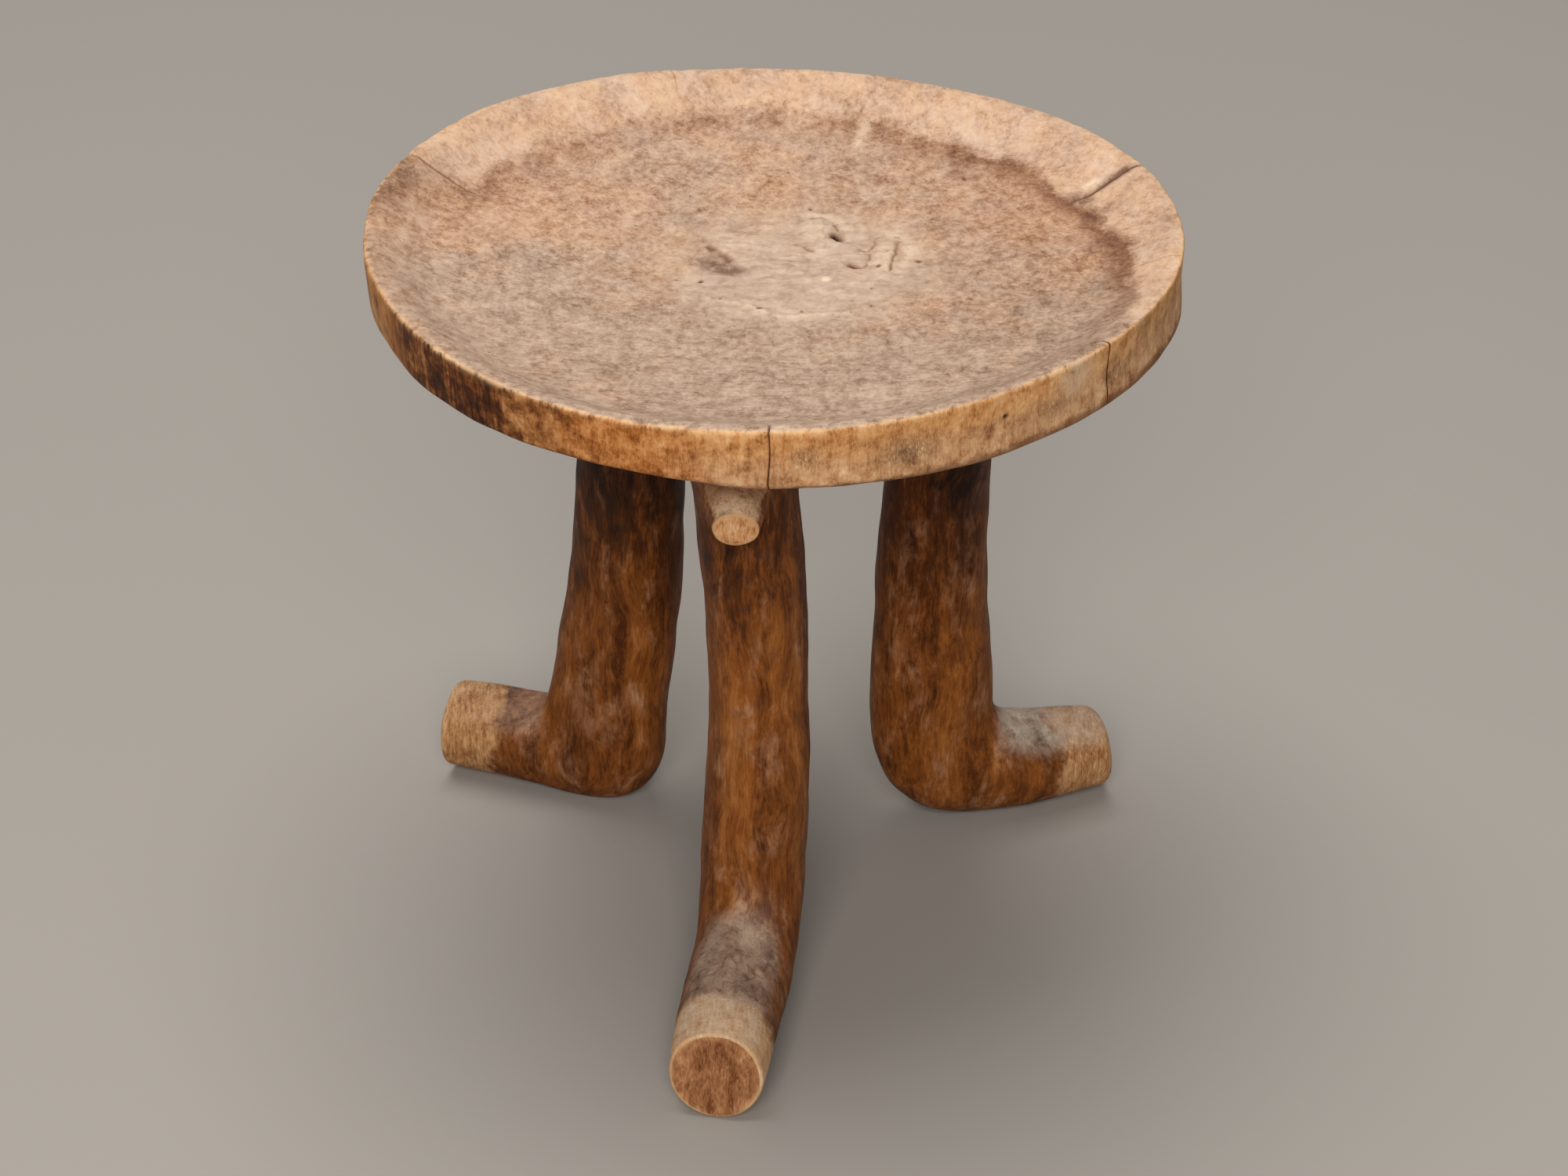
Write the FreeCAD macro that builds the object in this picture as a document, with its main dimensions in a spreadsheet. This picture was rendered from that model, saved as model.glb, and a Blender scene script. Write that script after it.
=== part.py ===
import FreeCAD, Part
import os
import Sketcher

# Carved tripod stool: a round dished seat on three bent legs, with a stub of a lug on the front leg.
# Millimetres, +Z up, +Y towards the back. The origin lies on the floor, in the middle of the space the stool
# takes up; the seat's axis stands a little behind it, because the front toe reaches out past the rim.
# Every leg is a round tenon in a blind mortise under the seat; the lug is a tenon in the front leg.

PARTS_DIR = "parts"
os.makedirs(PARTS_DIR, exist_ok=True)

SIZES = (
    # the seat, turned about the vertical axis
    ("seat_diameter", 340.0),
    ("seat_height", 320.0),
    ("seat_y", 9.45),
    ("rim_wall_height", 28.0),
    ("rim_wall_taper", 1.5),
    ("rim_top_width", 5.5),
    ("dish_wall_width", 21.0),
    ("dish_wall_drop", 12.0),
    ("dish_sag", 7.0),
    ("seat_thickness", 29.0),
    ("underside_flat_radius", 116.0),
    ("rim_inner_round", 1.6),
    ("rim_outer_round", 2.0),
    ("rim_lower_round", 4.0),
    ("dish_corner_round", 16.0),
    # the joints
    ("tenon_diameter", 26.0),
    ("tenon_length", 17.0),
    ("tenon_bevel", 1.2),
    ("joint_clearance", 0.3),
    # the section of every leg, seen along the leg: width across it, and how much deeper than wide it is
    ("shank_top_width", 42.0),
    ("shank_top_extra_depth", 4.0),
    ("ankle_width", 44.0),
    ("ankle_extra_depth", 13.0),
    ("instep_width", 43.0),
    ("instep_height", 43.0),
    ("toe_width", 38.0),
    ("toe_extra_height", 2.4),
    ("instep_round", 6.5),
    ("heel_fullness", 0.08),
    ("sole_wear", 1.9),
    ("toe_round", 2.2),
    # the left leg
    ("left_x", -75.7),
    ("left_y", 66.75),
    ("left_azimuth", 158.5),
    ("left_lean_out", -14.6),
    ("left_lean_side", 0.1),
    ("left_bow_out", -6.0),
    ("left_bow_side", -1.6),
    ("left_foot_length", 76.6),
    ("left_toe_pitch", 1.0),
    ("left_toe_lift", 0.6),
    ("left_toe_swing", 4.4),
    # the right leg
    ("right_x", 73.9),
    ("right_y", 48.85),
    ("right_azimuth", 15.4),
    ("right_lean_out", 5.4),
    ("right_lean_side", -3.8),
    ("right_bow_out", -2.9),
    ("right_bow_side", 0.8),
    ("right_foot_length", 85.7),
    ("right_toe_pitch", 5.8),
    ("right_toe_lift", 1.0),
    ("right_toe_swing", 1.0),
    # the front leg
    ("front_x", -6.7),
    ("front_y", -76.45),
    ("front_azimuth", 260.4),
    ("front_lean_out", -7.1),
    ("front_lean_side", -7.5),
    ("front_bow_out", 0.1),
    ("front_bow_side", 5.5),
    ("front_foot_length", 100.5),
    ("front_toe_pitch", 7.0),
    ("front_toe_lift", 0.8),
    ("front_toe_swing", 1.4),
    # the lug on the front leg
    ("lug_drop", 14.0),
    ("lug_turn", 9.6),
    ("lug_droop", 11.0),
    ("lug_root_setback", 13.0),
    ("lug_root_length", 11.0),
    ("lug_length", 24.0),
    ("lug_root_height", 25.0),
    ("lug_root_extra_width", 7.0),
    ("lug_tip_height", 17.0),
    ("lug_tip_extra_width", 3.0),
    ("lug_tip_round", 1.0),
    ("lug_tenon_diameter", 15.0),
    ("lug_tenon_length", 14.0),
)

# How far down the shank each of its level sections lies, as a share of the way from seat to ankle.
SHANK_STATIONS = (0.0, 0.36, 0.70, 1.0)
# The turned sections round the heel, in degrees from level (shank) to upright (foot).
QUARTER_TURN = 90.0
HEEL_STATIONS = (24.0, 45.0, 66.0, QUARTER_TURN)
# How the shank's depth grows towards the ankle: 1 would be straight.
SHANK_SWELL = 1.5
# How far along the foot its last sections lie, as a share of the way from instep to toe.
FOOT_STATIONS = (0.5, 1.0)
# Sections of the lug: how far out each lies, and how far its taper has gone by then.
LUG_STATIONS = ((0.0, 0.0), (0.5, 0.62), (1.0, 1.0))
# Half the side of the square that cuts the worn soles flat.
SOLE_CUTTER_HALF_SIDE = 400.0
# Two lengths count as the same below this.
MATCH_TOLERANCE = 0.01

LEVEL = "XY_Plane"
UPRIGHT = "XZ_Plane"

doc = FreeCAD.newDocument("tripod_stool")
sheet = doc.addObject("Spreadsheet::Sheet", "sizes")
for row, (alias, value) in enumerate(SIZES, start=1):
    sheet.set("A%d" % row, alias)
    sheet.set("B%d" % row, str(value))
    sheet.setAlias("B%d" % row, alias)
doc.recompute()


def ref(alias):
    return "sizes." + alias


def value_of(alias):
    return float(sheet.get(alias))


def add_body(label):
    body = doc.addObject("PartDesign::Body", label)
    body.Label = label
    return body


def origin_plane(body, role):
    for feature in body.Origin.OriginFeatures:
        if feature.Role == role:
            return feature
    raise ValueError("no origin plane " + role)


def add_sketch(body, name, role):
    sketch = body.newObject("Sketcher::SketchObject", name)
    sketch.AttachmentSupport = [(origin_plane(body, role), "")]
    sketch.MapMode = "FlatFace"
    return sketch


def shift_sketch(sketch, x=None, y=None, z=None):
    """Binds the sketch's offset from its origin plane, in that plane's own axes."""
    for axis, formula in (("x", x), ("y", y), ("z", z)):
        if formula is not None:
            sketch.setExpression("AttachmentOffset.Base." + axis, formula)


def constrain(sketch, name, formula, *geometry):
    """Adds a driving length and binds it to a formula on the sheet."""
    index = sketch.addConstraint(Sketcher.Constraint(*geometry))
    sketch.renameConstraint(index, name)
    sketch.setExpression("Constraints." + name, formula)


def add_ellipse(sketch, long_axis, short_axis):
    """An ellipse about the sketch's origin, its long axis along the sketch's X."""
    start_long = 30.0
    start_short = 20.0
    centre = FreeCAD.Vector(0, 0, 0)
    sketch.addGeometry(Part.Ellipse(centre, start_long, start_short), False)
    sketch.exposeInternalGeometry(0)
    sketch.addConstraint(Sketcher.Constraint("Coincident", 0, 3, -1, 1))
    sketch.addConstraint(Sketcher.Constraint("Horizontal", 1))
    constrain(sketch, "long_axis", long_axis, "Distance", 1, 2 * start_long)
    constrain(sketch, "short_axis", short_axis, "Distance", 2, 2 * start_short)


def add_circle(sketch, name, x, y, diameter):
    """A circle placed from the sketch's origin; all its sizes are formulas."""
    start_radius = 10.0
    start = FreeCAD.Vector(1, 1, 0)
    number = sketch.addGeometry(Part.Circle(start, FreeCAD.Vector(0, 0, 1), start_radius), False)
    constrain(sketch, name + "_x", x, "DistanceX", -1, 1, number, 3, start.x)
    constrain(sketch, name + "_y", y, "DistanceY", -1, 1, number, 3, start.y)
    constrain(sketch, name + "_diameter", diameter, "Diameter", number, 2 * start_radius)


def add_centred_circle(sketch, diameter):
    start_radius = 10.0
    sketch.addGeometry(Part.Circle(FreeCAD.Vector(0, 0, 0), FreeCAD.Vector(0, 0, 1), start_radius), False)
    sketch.addConstraint(Sketcher.Constraint("Coincident", 0, 3, -1, 1))
    constrain(sketch, "diameter", diameter, "Diameter", 0, 2 * start_radius)


def add_rectangle(sketch, half_side):
    """A square about the sketch's origin, far larger than the leg."""
    signs = ((-1, -1), (1, -1), (1, 1), (-1, 1))
    corners = [FreeCAD.Vector(x * half_side, y * half_side, 0) for x, y in signs]
    for i in range(4):
        sketch.addGeometry(Part.LineSegment(corners[i], corners[(i + 1) % 4]), False)
    for i in range(4):
        sketch.addConstraint(Sketcher.Constraint("Coincident", i, 2, (i + 1) % 4, 1))
        sketch.addConstraint(Sketcher.Constraint("Block", i))


def add_skin(name, sections):
    """One smooth solid over a row of oval sections."""
    skin = doc.addObject("Part::Loft", name)
    skin.Sections = sections
    skin.Solid = True
    skin.Ruled = False
    skin.MaxDegree = 2
    doc.recompute()
    return skin


def add_pad(body, name, sketch, length):
    pad = body.newObject("PartDesign::Pad", name)
    pad.Profile = sketch
    pad.Type = "Length"
    pad.setExpression("Length", length)
    return pad


def add_pocket(body, name, sketch, length=None, towards_normal=False):
    """Cuts against the sketch's normal, or along it; right through where no length is given."""
    pocket = body.newObject("PartDesign::Pocket", name)
    pocket.Profile = sketch
    pocket.Reversed = towards_normal
    if length is None:
        pocket.Type = "ThroughAll"
    else:
        pocket.Type = "Length"
        pocket.setExpression("Length", length)
    return pocket


def edge_names(shape, wanted):
    names = []
    for number, edge in enumerate(shape.Edges, start=1):
        if not edge.Degenerated and wanted(edge):
            names.append("Edge%d" % number)
    if not names:
        raise ValueError("no edge found to round")
    return names


def add_fillet(body, name, wanted, radius):
    """Rounds the edges of the body so far that the test picks out."""
    doc.recompute()
    base = body.Tip
    fillet = body.newObject("PartDesign::Fillet", name)
    fillet.Base = (base, edge_names(base.Shape, wanted))
    fillet.setExpression("Radius", radius)
    doc.recompute()


def add_chamfer(body, name, wanted, size):
    doc.recompute()
    base = body.Tip
    chamfer = body.newObject("PartDesign::Chamfer", name)
    chamfer.Base = (base, edge_names(base.Shape, wanted))
    chamfer.setExpression("Size", size)
    doc.recompute()


def ring_edge(radius, height):
    """Tests for the level circle of this radius about the seat's axis at this height."""
    def test(edge):
        if not isinstance(edge.Curve, Part.Circle):
            return False
        centre = edge.Curve.Center
        off_axis = max(abs(centre.x), abs(centre.y))
        misfit = max(abs(edge.Curve.Radius - radius), abs(centre.z - height), off_axis)
        return misfit < MATCH_TOLERANCE
    return test


def edge_in_plane(section):
    """Tests for an edge that lies in the plane of this section."""
    normal = section.Placement.Rotation.multVec(FreeCAD.Vector(0, 0, 1))
    centre = section.Placement.Base

    def test(edge):
        return all(abs((point - centre).dot(normal)) < MATCH_TOLERANCE for point in edge.discretize(9))
    return test


# Heights and radii shared by the pieces, as formulas on the sheet
DISH_CORNER_Z = "({0} - {1})".format(ref("seat_height"), ref("dish_wall_drop"))
DISH_CENTRE_Z = "({0} - {1})".format(DISH_CORNER_Z, ref("dish_sag"))
UNDERSIDE_Z = "({0} - {1})".format(DISH_CENTRE_Z, ref("seat_thickness"))
RIM_BOTTOM_Z = "({0} - {1})".format(ref("seat_height"), ref("rim_wall_height"))
SEAT_RADIUS = "({0} / 2)".format(ref("seat_diameter"))
CREST_RADIUS = "({0} - {1})".format(SEAT_RADIUS, ref("rim_top_width"))
CORNER_RADIUS = "({0} - {1})".format(CREST_RADIUS, ref("dish_wall_width"))
RIM_BOTTOM_RADIUS = "({0} - {1})".format(SEAT_RADIUS, ref("rim_wall_taper"))
MORTISE_DIAMETER = "({0} + 2 * {1})".format(ref("tenon_diameter"), ref("joint_clearance"))
MORTISE_DEPTH = "({0} + {1})".format(ref("tenon_length"), ref("joint_clearance"))


def leg_top(leg):
    """Where the top of a leg meets the underside, from the seat's axis, as a pair of formulas."""
    turned_x = "{0} * cos({2}) - {1} * sin({2})"
    turned_y = "{0} * sin({2}) + {1} * cos({2})"
    names = (ref(leg + "_lean_out"), ref(leg + "_lean_side"), ref(leg + "_azimuth"))
    x = ref(leg + "_x") + " + " + turned_x.format(*names)
    y = ref(leg + "_y") + " - " + ref("seat_y") + " + " + turned_y.format(*names)
    return x, y


def make_seat():
    body = add_body("seat")
    sketch = add_sketch(body, "seat_profile", UPRIGHT)

    radius = value_of("seat_diameter") / 2
    top = value_of("seat_height")
    crest = radius - value_of("rim_top_width")
    corner = crest - value_of("dish_wall_width")
    corner_z = top - value_of("dish_wall_drop")
    centre_z = corner_z - value_of("dish_sag")
    under_z = centre_z - value_of("seat_thickness")
    foot = radius - value_of("rim_wall_taper")
    foot_z = top - value_of("rim_wall_height")
    flat = value_of("underside_flat_radius")

    def point(across, up):
        return FreeCAD.Vector(across, up, 0)

    def arc_about(centre, start, end):
        """The shorter arc from start to end, run anticlockwise about its centre."""
        circle = Part.Circle(centre, FreeCAD.Vector(0, 0, 1), (start - centre).Length)
        return Part.ArcOfCircle(circle, circle.parameter(start), circle.parameter(end))

    sag = corner_z - centre_z
    dish_radius = (corner ** 2 + sag ** 2) / (2 * sag)
    rise = foot_z - under_z
    flank_radius = ((foot - flat) ** 2 + rise ** 2) / (2 * rise)
    dish_centre = point(0, centre_z + dish_radius)
    flank_centre = point(flat, under_z + flank_radius)

    dish, wall, crest_top, outer, flank, flat_line, axis_line = range(7)
    sketch.addGeometry(arc_about(dish_centre, point(0, centre_z), point(corner, corner_z)), False)
    sketch.addGeometry(Part.LineSegment(point(corner, corner_z), point(crest, top)), False)
    sketch.addGeometry(Part.LineSegment(point(crest, top), point(radius, top)), False)
    sketch.addGeometry(Part.LineSegment(point(radius, top), point(foot, foot_z)), False)
    sketch.addGeometry(arc_about(flank_centre, point(flat, under_z), point(foot, foot_z)), False)
    sketch.addGeometry(Part.LineSegment(point(flat, under_z), point(0, under_z)), False)
    sketch.addGeometry(Part.LineSegment(point(0, under_z), point(0, centre_z)), False)

    start, end, centre = 1, 2, 3
    horizontal_axis, vertical_axis = -1, -2
    joins = ((dish, end, wall, start), (wall, end, crest_top, start), (crest_top, end, outer, start),
             (outer, end, flank, end), (flank, start, flat_line, start), (flat_line, end, axis_line, start),
             (axis_line, end, dish, start))
    for first, first_end, second, second_end in joins:
        sketch.addConstraint(Sketcher.Constraint("Coincident", first, first_end, second, second_end))
    sketch.addConstraint(Sketcher.Constraint("PointOnObject", dish, centre, vertical_axis))
    sketch.addConstraint(Sketcher.Constraint("PointOnObject", dish, start, vertical_axis))
    sketch.addConstraint(Sketcher.Constraint("PointOnObject", axis_line, start, vertical_axis))
    sketch.addConstraint(Sketcher.Constraint("Vertical", flank, centre, flank, start))
    sketch.addConstraint(Sketcher.Constraint("Horizontal", crest_top))
    sketch.addConstraint(Sketcher.Constraint("Horizontal", flat_line))

    def place(name, geometry, vertex, across=None, up=None):
        for suffix, kind, bound in (("_r", "DistanceX", across), ("_z", "DistanceY", up)):
            if bound is not None:
                formula, now = bound
                constrain(sketch, name + suffix, formula, kind, horizontal_axis, 1, geometry, vertex, now)

    place("dish_centre", dish, start, up=(DISH_CENTRE_Z, centre_z))
    place("dish_corner", dish, end, (CORNER_RADIUS, corner), (DISH_CORNER_Z, corner_z))
    place("crest", wall, end, (CREST_RADIUS, crest), (ref("seat_height"), top))
    place("outer_top", crest_top, end, (SEAT_RADIUS, radius))
    place("outer_foot", outer, end, (RIM_BOTTOM_RADIUS, foot), (RIM_BOTTOM_Z, foot_z))
    place("flat_edge", flank, start, (ref("underside_flat_radius"), flat), (UNDERSIDE_Z, under_z))

    revolution = body.newObject("PartDesign::Revolution", "seat_turning")
    revolution.Profile = sketch
    revolution.ReferenceAxis = (sketch, ["V_Axis"])
    revolution.Angle = 360.0

    mortises = add_sketch(body, "mortise_rounds", LEVEL)
    shift_sketch(mortises, z=UNDERSIDE_Z)
    for leg in ("left", "right", "front"):
        x, y = leg_top(leg)
        add_circle(mortises, leg, x, y, MORTISE_DIAMETER)
    add_pocket(body, "mortises", mortises, MORTISE_DEPTH, towards_normal=True)

    add_fillet(body, "dish_corner", ring_edge(corner, corner_z), ref("dish_corner_round"))
    add_fillet(body, "rim_inner_edge", ring_edge(crest, top), ref("rim_inner_round"))
    add_fillet(body, "rim_outer_edge", ring_edge(radius, top), ref("rim_outer_round"))
    add_fillet(body, "rim_lower_edge", ring_edge(foot, foot_z), ref("rim_lower_round"))

    body.setExpression("Placement.Base.y", ref("seat_y"))
    return body


# The leg's own frame: origin on the floor under the ankle, +X along the foot, +Z up the shank.
ANKLE_DEPTH = "({0} + {1})".format(ref("ankle_width"), ref("ankle_extra_depth"))
SHANK_TOP_DEPTH = "({0} + {1})".format(ref("shank_top_width"), ref("shank_top_extra_depth"))
TOE_HEIGHT = "({0} + {1})".format(ref("toe_width"), ref("toe_extra_height"))
INSTEP_DEPTH = "({0} + {1})".format(ref("instep_height"), ref("sole_wear"))
# The inner corner between shank and foot: the turned sections fan out from this line.
PIVOT_X = "({0} / 2 + {1})".format(ANKLE_DEPTH, ref("instep_round"))
PIVOT_Z = "({0} + {1})".format(ref("instep_height"), ref("instep_round"))


def add_section(name, depth, width, place, tilt):
    """An oval section of a leg: level at no tilt, upright across the foot at a quarter turn."""
    section = doc.addObject("Part::Ellipse", name)
    section.setExpression("MajorRadius", "({0}) / 2".format(depth))
    section.setExpression("MinorRadius", "({0}) / 2".format(width))
    small_turn = 1.0
    towards_toe = FreeCAD.Vector(0, -1, 0)
    section.Placement = FreeCAD.Placement(FreeCAD.Vector(0, 0, 0), FreeCAD.Rotation(towards_toe, small_turn))
    for axis, formula in zip("xyz", place):
        section.setExpression("Placement.Base." + axis, formula)
    section.setExpression("Placement.Rotation.Angle", tilt)
    return section


def between(first, second, share):
    """The formula that lies this share of the way from the first to the second."""
    return "({0} * {2} + {1} * {3})".format(first, second, 1.0 - share, share)


def shank_section(leg, number, share):
    """A level section of the shank, leaning and bowed between the seat and the ankle."""
    above = 1.0 - share
    bow = 4.0 * share * above
    drift = "{0} * {2} + {1} * {3}"
    x = drift.format(ref(leg + "_lean_out"), ref(leg + "_bow_out"), above, bow)
    y = drift.format(ref(leg + "_lean_side"), ref(leg + "_bow_side"), above, bow)
    z = between(UNDERSIDE_Z, PIVOT_Z, share)
    depth = between(SHANK_TOP_DEPTH, ANKLE_DEPTH, share ** SHANK_SWELL)
    width = between(ref("shank_top_width"), ref("ankle_width"), share)
    return add_section("%s_shank_%d" % (leg, number), depth, width, (x, y, z), "0")


def heel_section(leg, number, angle):
    """A section that fans out from the inner corner, through the heel."""
    level = "cos({0}) ^ 2".format(angle)
    upright = "sin({0}) ^ 2".format(angle)
    full = "(1 + {0} * sin({1}) ^ 2)".format(ref("heel_fullness"), 2 * angle)
    reach = "((({0} + {2}) * {3} + ({1} + {2}) * {4}) * {5})".format(
        ANKLE_DEPTH, INSTEP_DEPTH, ref("instep_round"), level, upright, full)
    middle = "(({0} + {1}) / 2)".format(reach, ref("instep_round"))
    x = "{0} - {1} * cos({2})".format(PIVOT_X, middle, angle)
    z = "{0} - {1} * sin({2})".format(PIVOT_Z, middle, angle)
    depth = "{0} - {1}".format(reach, ref("instep_round"))
    width = between(ref("ankle_width"), ref("instep_width"), angle / QUARTER_TURN)
    return add_section("%s_heel_%d" % (leg, number), depth, width, (x, "0", z), str(angle))


def foot_section(leg, number, share):
    """An upright section of the foot, tilting back towards the toe."""
    x = between(PIVOT_X, ref(leg + "_foot_length"), share)
    y = "{0} * {1}".format(ref(leg + "_toe_swing"), share ** 2)
    instep_z = "({0} - {1} / 2)".format(ref("instep_height"), INSTEP_DEPTH)
    toe_z = "({0} / 2 * cos({1}) + {2})".format(TOE_HEIGHT, ref(leg + "_toe_pitch"), ref(leg + "_toe_lift"))
    z = between(instep_z, toe_z, share)
    height = between(INSTEP_DEPTH, TOE_HEIGHT, share)
    width = between(ref("instep_width"), ref("toe_width"), share)
    tilt = "{0} + {1} * {2}".format(QUARTER_TURN, ref(leg + "_toe_pitch"), share)
    return add_section("%s_foot_%d" % (leg, number), height, width, (x, y, z), tilt)


def make_leg(leg):
    sections = [shank_section(leg, number, share) for number, share in enumerate(SHANK_STATIONS)]
    sections += [heel_section(leg, number, angle) for number, angle in enumerate(HEEL_STATIONS)]
    sections += [foot_section(leg, number, share) for number, share in enumerate(FOOT_STATIONS)]
    body = add_body(leg + "_leg")
    body.BaseFeature = add_skin(leg + "_limb", sections)
    doc.recompute()
    add_fillet(body, leg + "_toe_edge", edge_in_plane(sections[-1]), ref("toe_round"))

    cutter = add_sketch(body, leg + "_sole_cutter", LEVEL)
    add_rectangle(cutter, SOLE_CUTTER_HALF_SIDE)
    add_pocket(body, leg + "_sole", cutter)

    tenon = add_sketch(body, leg + "_tenon_round", LEVEL)
    shift_sketch(tenon, ref(leg + "_lean_out"), ref(leg + "_lean_side"), UNDERSIDE_Z)
    add_centred_circle(tenon, ref("tenon_diameter"))
    add_pad(body, leg + "_tenon", tenon, ref("tenon_length"))
    doc.recompute()
    tenon_end = tenon.Placement.Base.z + value_of("tenon_length")

    def on_tenon_end(edge):
        return all(abs(point.z - tenon_end) < MATCH_TOLERANCE for point in edge.discretize(5))

    add_chamfer(body, leg + "_tenon_bevel", on_tenon_end, ref("tenon_bevel"))

    body.setExpression("Placement.Base.x", ref(leg + "_x"))
    body.setExpression("Placement.Base.y", ref(leg + "_y"))
    body.setExpression("Placement.Rotation.Angle", ref(leg + "_azimuth"))
    return body


# The lug's axis starts on the line down from the top of the leg, in the frame of the front leg.
LUG_AXIS_Z = "({0} - {1})".format(UNDERSIDE_Z, ref("lug_drop"))
LUG_BASE = (ref("front_lean_out"), ref("front_lean_side"), LUG_AXIS_Z)
LUG_ROOT_WIDTH = "({0} + {1})".format(ref("lug_root_height"), ref("lug_root_extra_width"))
LUG_TIP_WIDTH = "({0} + {1})".format(ref("lug_tip_height"), ref("lug_tip_extra_width"))


def point_along_lug(item, placement, distance):
    """Sets a section or sketch square to the lug's axis, this far out from the start of the axis."""
    level_reach = "{0} * cos({1})".format(distance, ref("lug_droop"))
    x = "{0} + {1} * cos({2})".format(LUG_BASE[0], level_reach, ref("lug_turn"))
    y = "{0} + {1} * sin({2})".format(LUG_BASE[1], level_reach, ref("lug_turn"))
    z = "{0} - {1} * sin({2})".format(LUG_BASE[2], distance, ref("lug_droop"))
    for axis, formula in zip("xyz", (x, y, z)):
        item.setExpression(placement + ".Base." + axis, formula)
    item.setExpression(placement + ".Rotation.Yaw", "{0} + {1}".format(QUARTER_TURN, ref("lug_turn")))
    item.setExpression(placement + ".Rotation.Roll", "{0} + {1}".format(QUARTER_TURN, ref("lug_droop")))


def add_lug_sketch(body, name):
    sketch = add_sketch(body, name, LEVEL)
    point_along_lug(sketch, "AttachmentOffset", ref("lug_root_setback"))
    return sketch


def cut_lug_socket(leg_body):
    """The seat for the lug's root in the front of the leg, and the socket for its tenon."""
    clear = "2 * " + ref("joint_clearance")
    root = add_lug_sketch(leg_body, "lug_root_seat")
    root_height = "{0} + {1}".format(ref("lug_root_height"), clear)
    add_ellipse(root, "{0} + {1}".format(LUG_ROOT_WIDTH, clear), root_height)
    past_leg = "{0} + {1}".format(ref("lug_root_length"), ref("lug_length"))
    add_pocket(leg_body, "lug_seat", root, past_leg, towards_normal=True)

    socket = add_lug_sketch(leg_body, "lug_socket_round")
    add_centred_circle(socket, "{0} + {1}".format(ref("lug_tenon_diameter"), clear))
    socket_depth = "{0} + {1}".format(ref("lug_tenon_length"), ref("joint_clearance"))
    add_pocket(leg_body, "lug_socket", socket, socket_depth)


def lug_section(number, share, taper):
    """An oval section of the lug, this share of its length out and this share of its taper down."""
    section = doc.addObject("Part::Ellipse", "lug_section_%d" % number)
    section.setExpression("MajorRadius", between(LUG_ROOT_WIDTH, LUG_TIP_WIDTH, taper) + " / 2")
    height = between(ref("lug_root_height"), ref("lug_tip_height"), taper)
    section.setExpression("MinorRadius", height + " / 2")
    reach = "({0} + {1} + {2} * {3})".format(
        ref("lug_root_setback"), ref("lug_root_length"), ref("lug_length"), share)
    point_along_lug(section, "Placement", reach)
    return section


def make_lug():
    sections = [lug_section(number, share, taper) for number, (share, taper) in enumerate(LUG_STATIONS)]
    body = add_body("carrying_lug")
    body.BaseFeature = add_skin("lug_stub", sections)
    doc.recompute()
    add_fillet(body, "lug_tip_edge", edge_in_plane(sections[-1]), ref("lug_tip_round"))

    root = add_lug_sketch(body, "lug_root_oval")
    add_ellipse(root, LUG_ROOT_WIDTH, ref("lug_root_height"))
    add_pad(body, "lug_root", root, ref("lug_root_length"))

    tenon = add_lug_sketch(body, "lug_tenon_round")
    add_centred_circle(tenon, ref("lug_tenon_diameter"))
    pad = add_pad(body, "lug_tenon", tenon, ref("lug_tenon_length"))
    pad.Reversed = True

    body.setExpression("Placement.Base.x", ref("front_x"))
    body.setExpression("Placement.Base.y", ref("front_y"))
    body.setExpression("Placement.Rotation.Angle", ref("front_azimuth"))
    return body


seat = make_seat()
left_leg = make_leg("left")
right_leg = make_leg("right")
front_leg = make_leg("front")
cut_lug_socket(front_leg)
carrying_lug = make_lug()
doc.recompute()

for item in doc.Objects:
    if "Invalid" in item.State or "Error" in item.State:
        raise RuntimeError("not built: " + item.Label)

for body in (seat, left_leg, right_leg, front_leg, carrying_lug):
    shape = body.Shape
    if shape.isNull() or not shape.isValid() or len(shape.Solids) != 1:
        raise RuntimeError("not one sound solid: " + body.Label)
    shape.exportStep(os.path.join(PARTS_DIR, body.Label + ".step"))
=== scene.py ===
import math
from collections import namedtuple
from types import SimpleNamespace

import bpy
import numpy as np
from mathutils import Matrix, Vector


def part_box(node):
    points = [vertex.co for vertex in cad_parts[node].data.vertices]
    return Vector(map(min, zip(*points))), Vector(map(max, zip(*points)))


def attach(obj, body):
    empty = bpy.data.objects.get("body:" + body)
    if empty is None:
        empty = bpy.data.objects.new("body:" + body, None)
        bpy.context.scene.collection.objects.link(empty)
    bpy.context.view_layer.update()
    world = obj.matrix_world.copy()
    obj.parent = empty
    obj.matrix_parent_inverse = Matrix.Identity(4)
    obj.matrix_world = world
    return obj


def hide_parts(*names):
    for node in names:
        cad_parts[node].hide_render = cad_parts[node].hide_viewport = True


# Carved tripod stool: a round dished seat on three bent legs, with a short lug under the front of the rim.
# Shapes are worked out in millimetres in the seat's own frame: +X right, +Y back, +Z up from the floor, and
# the seat's axis at x = y = 0. They are moved to the frame of the solids, in metres, when a mesh is made.

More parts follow.
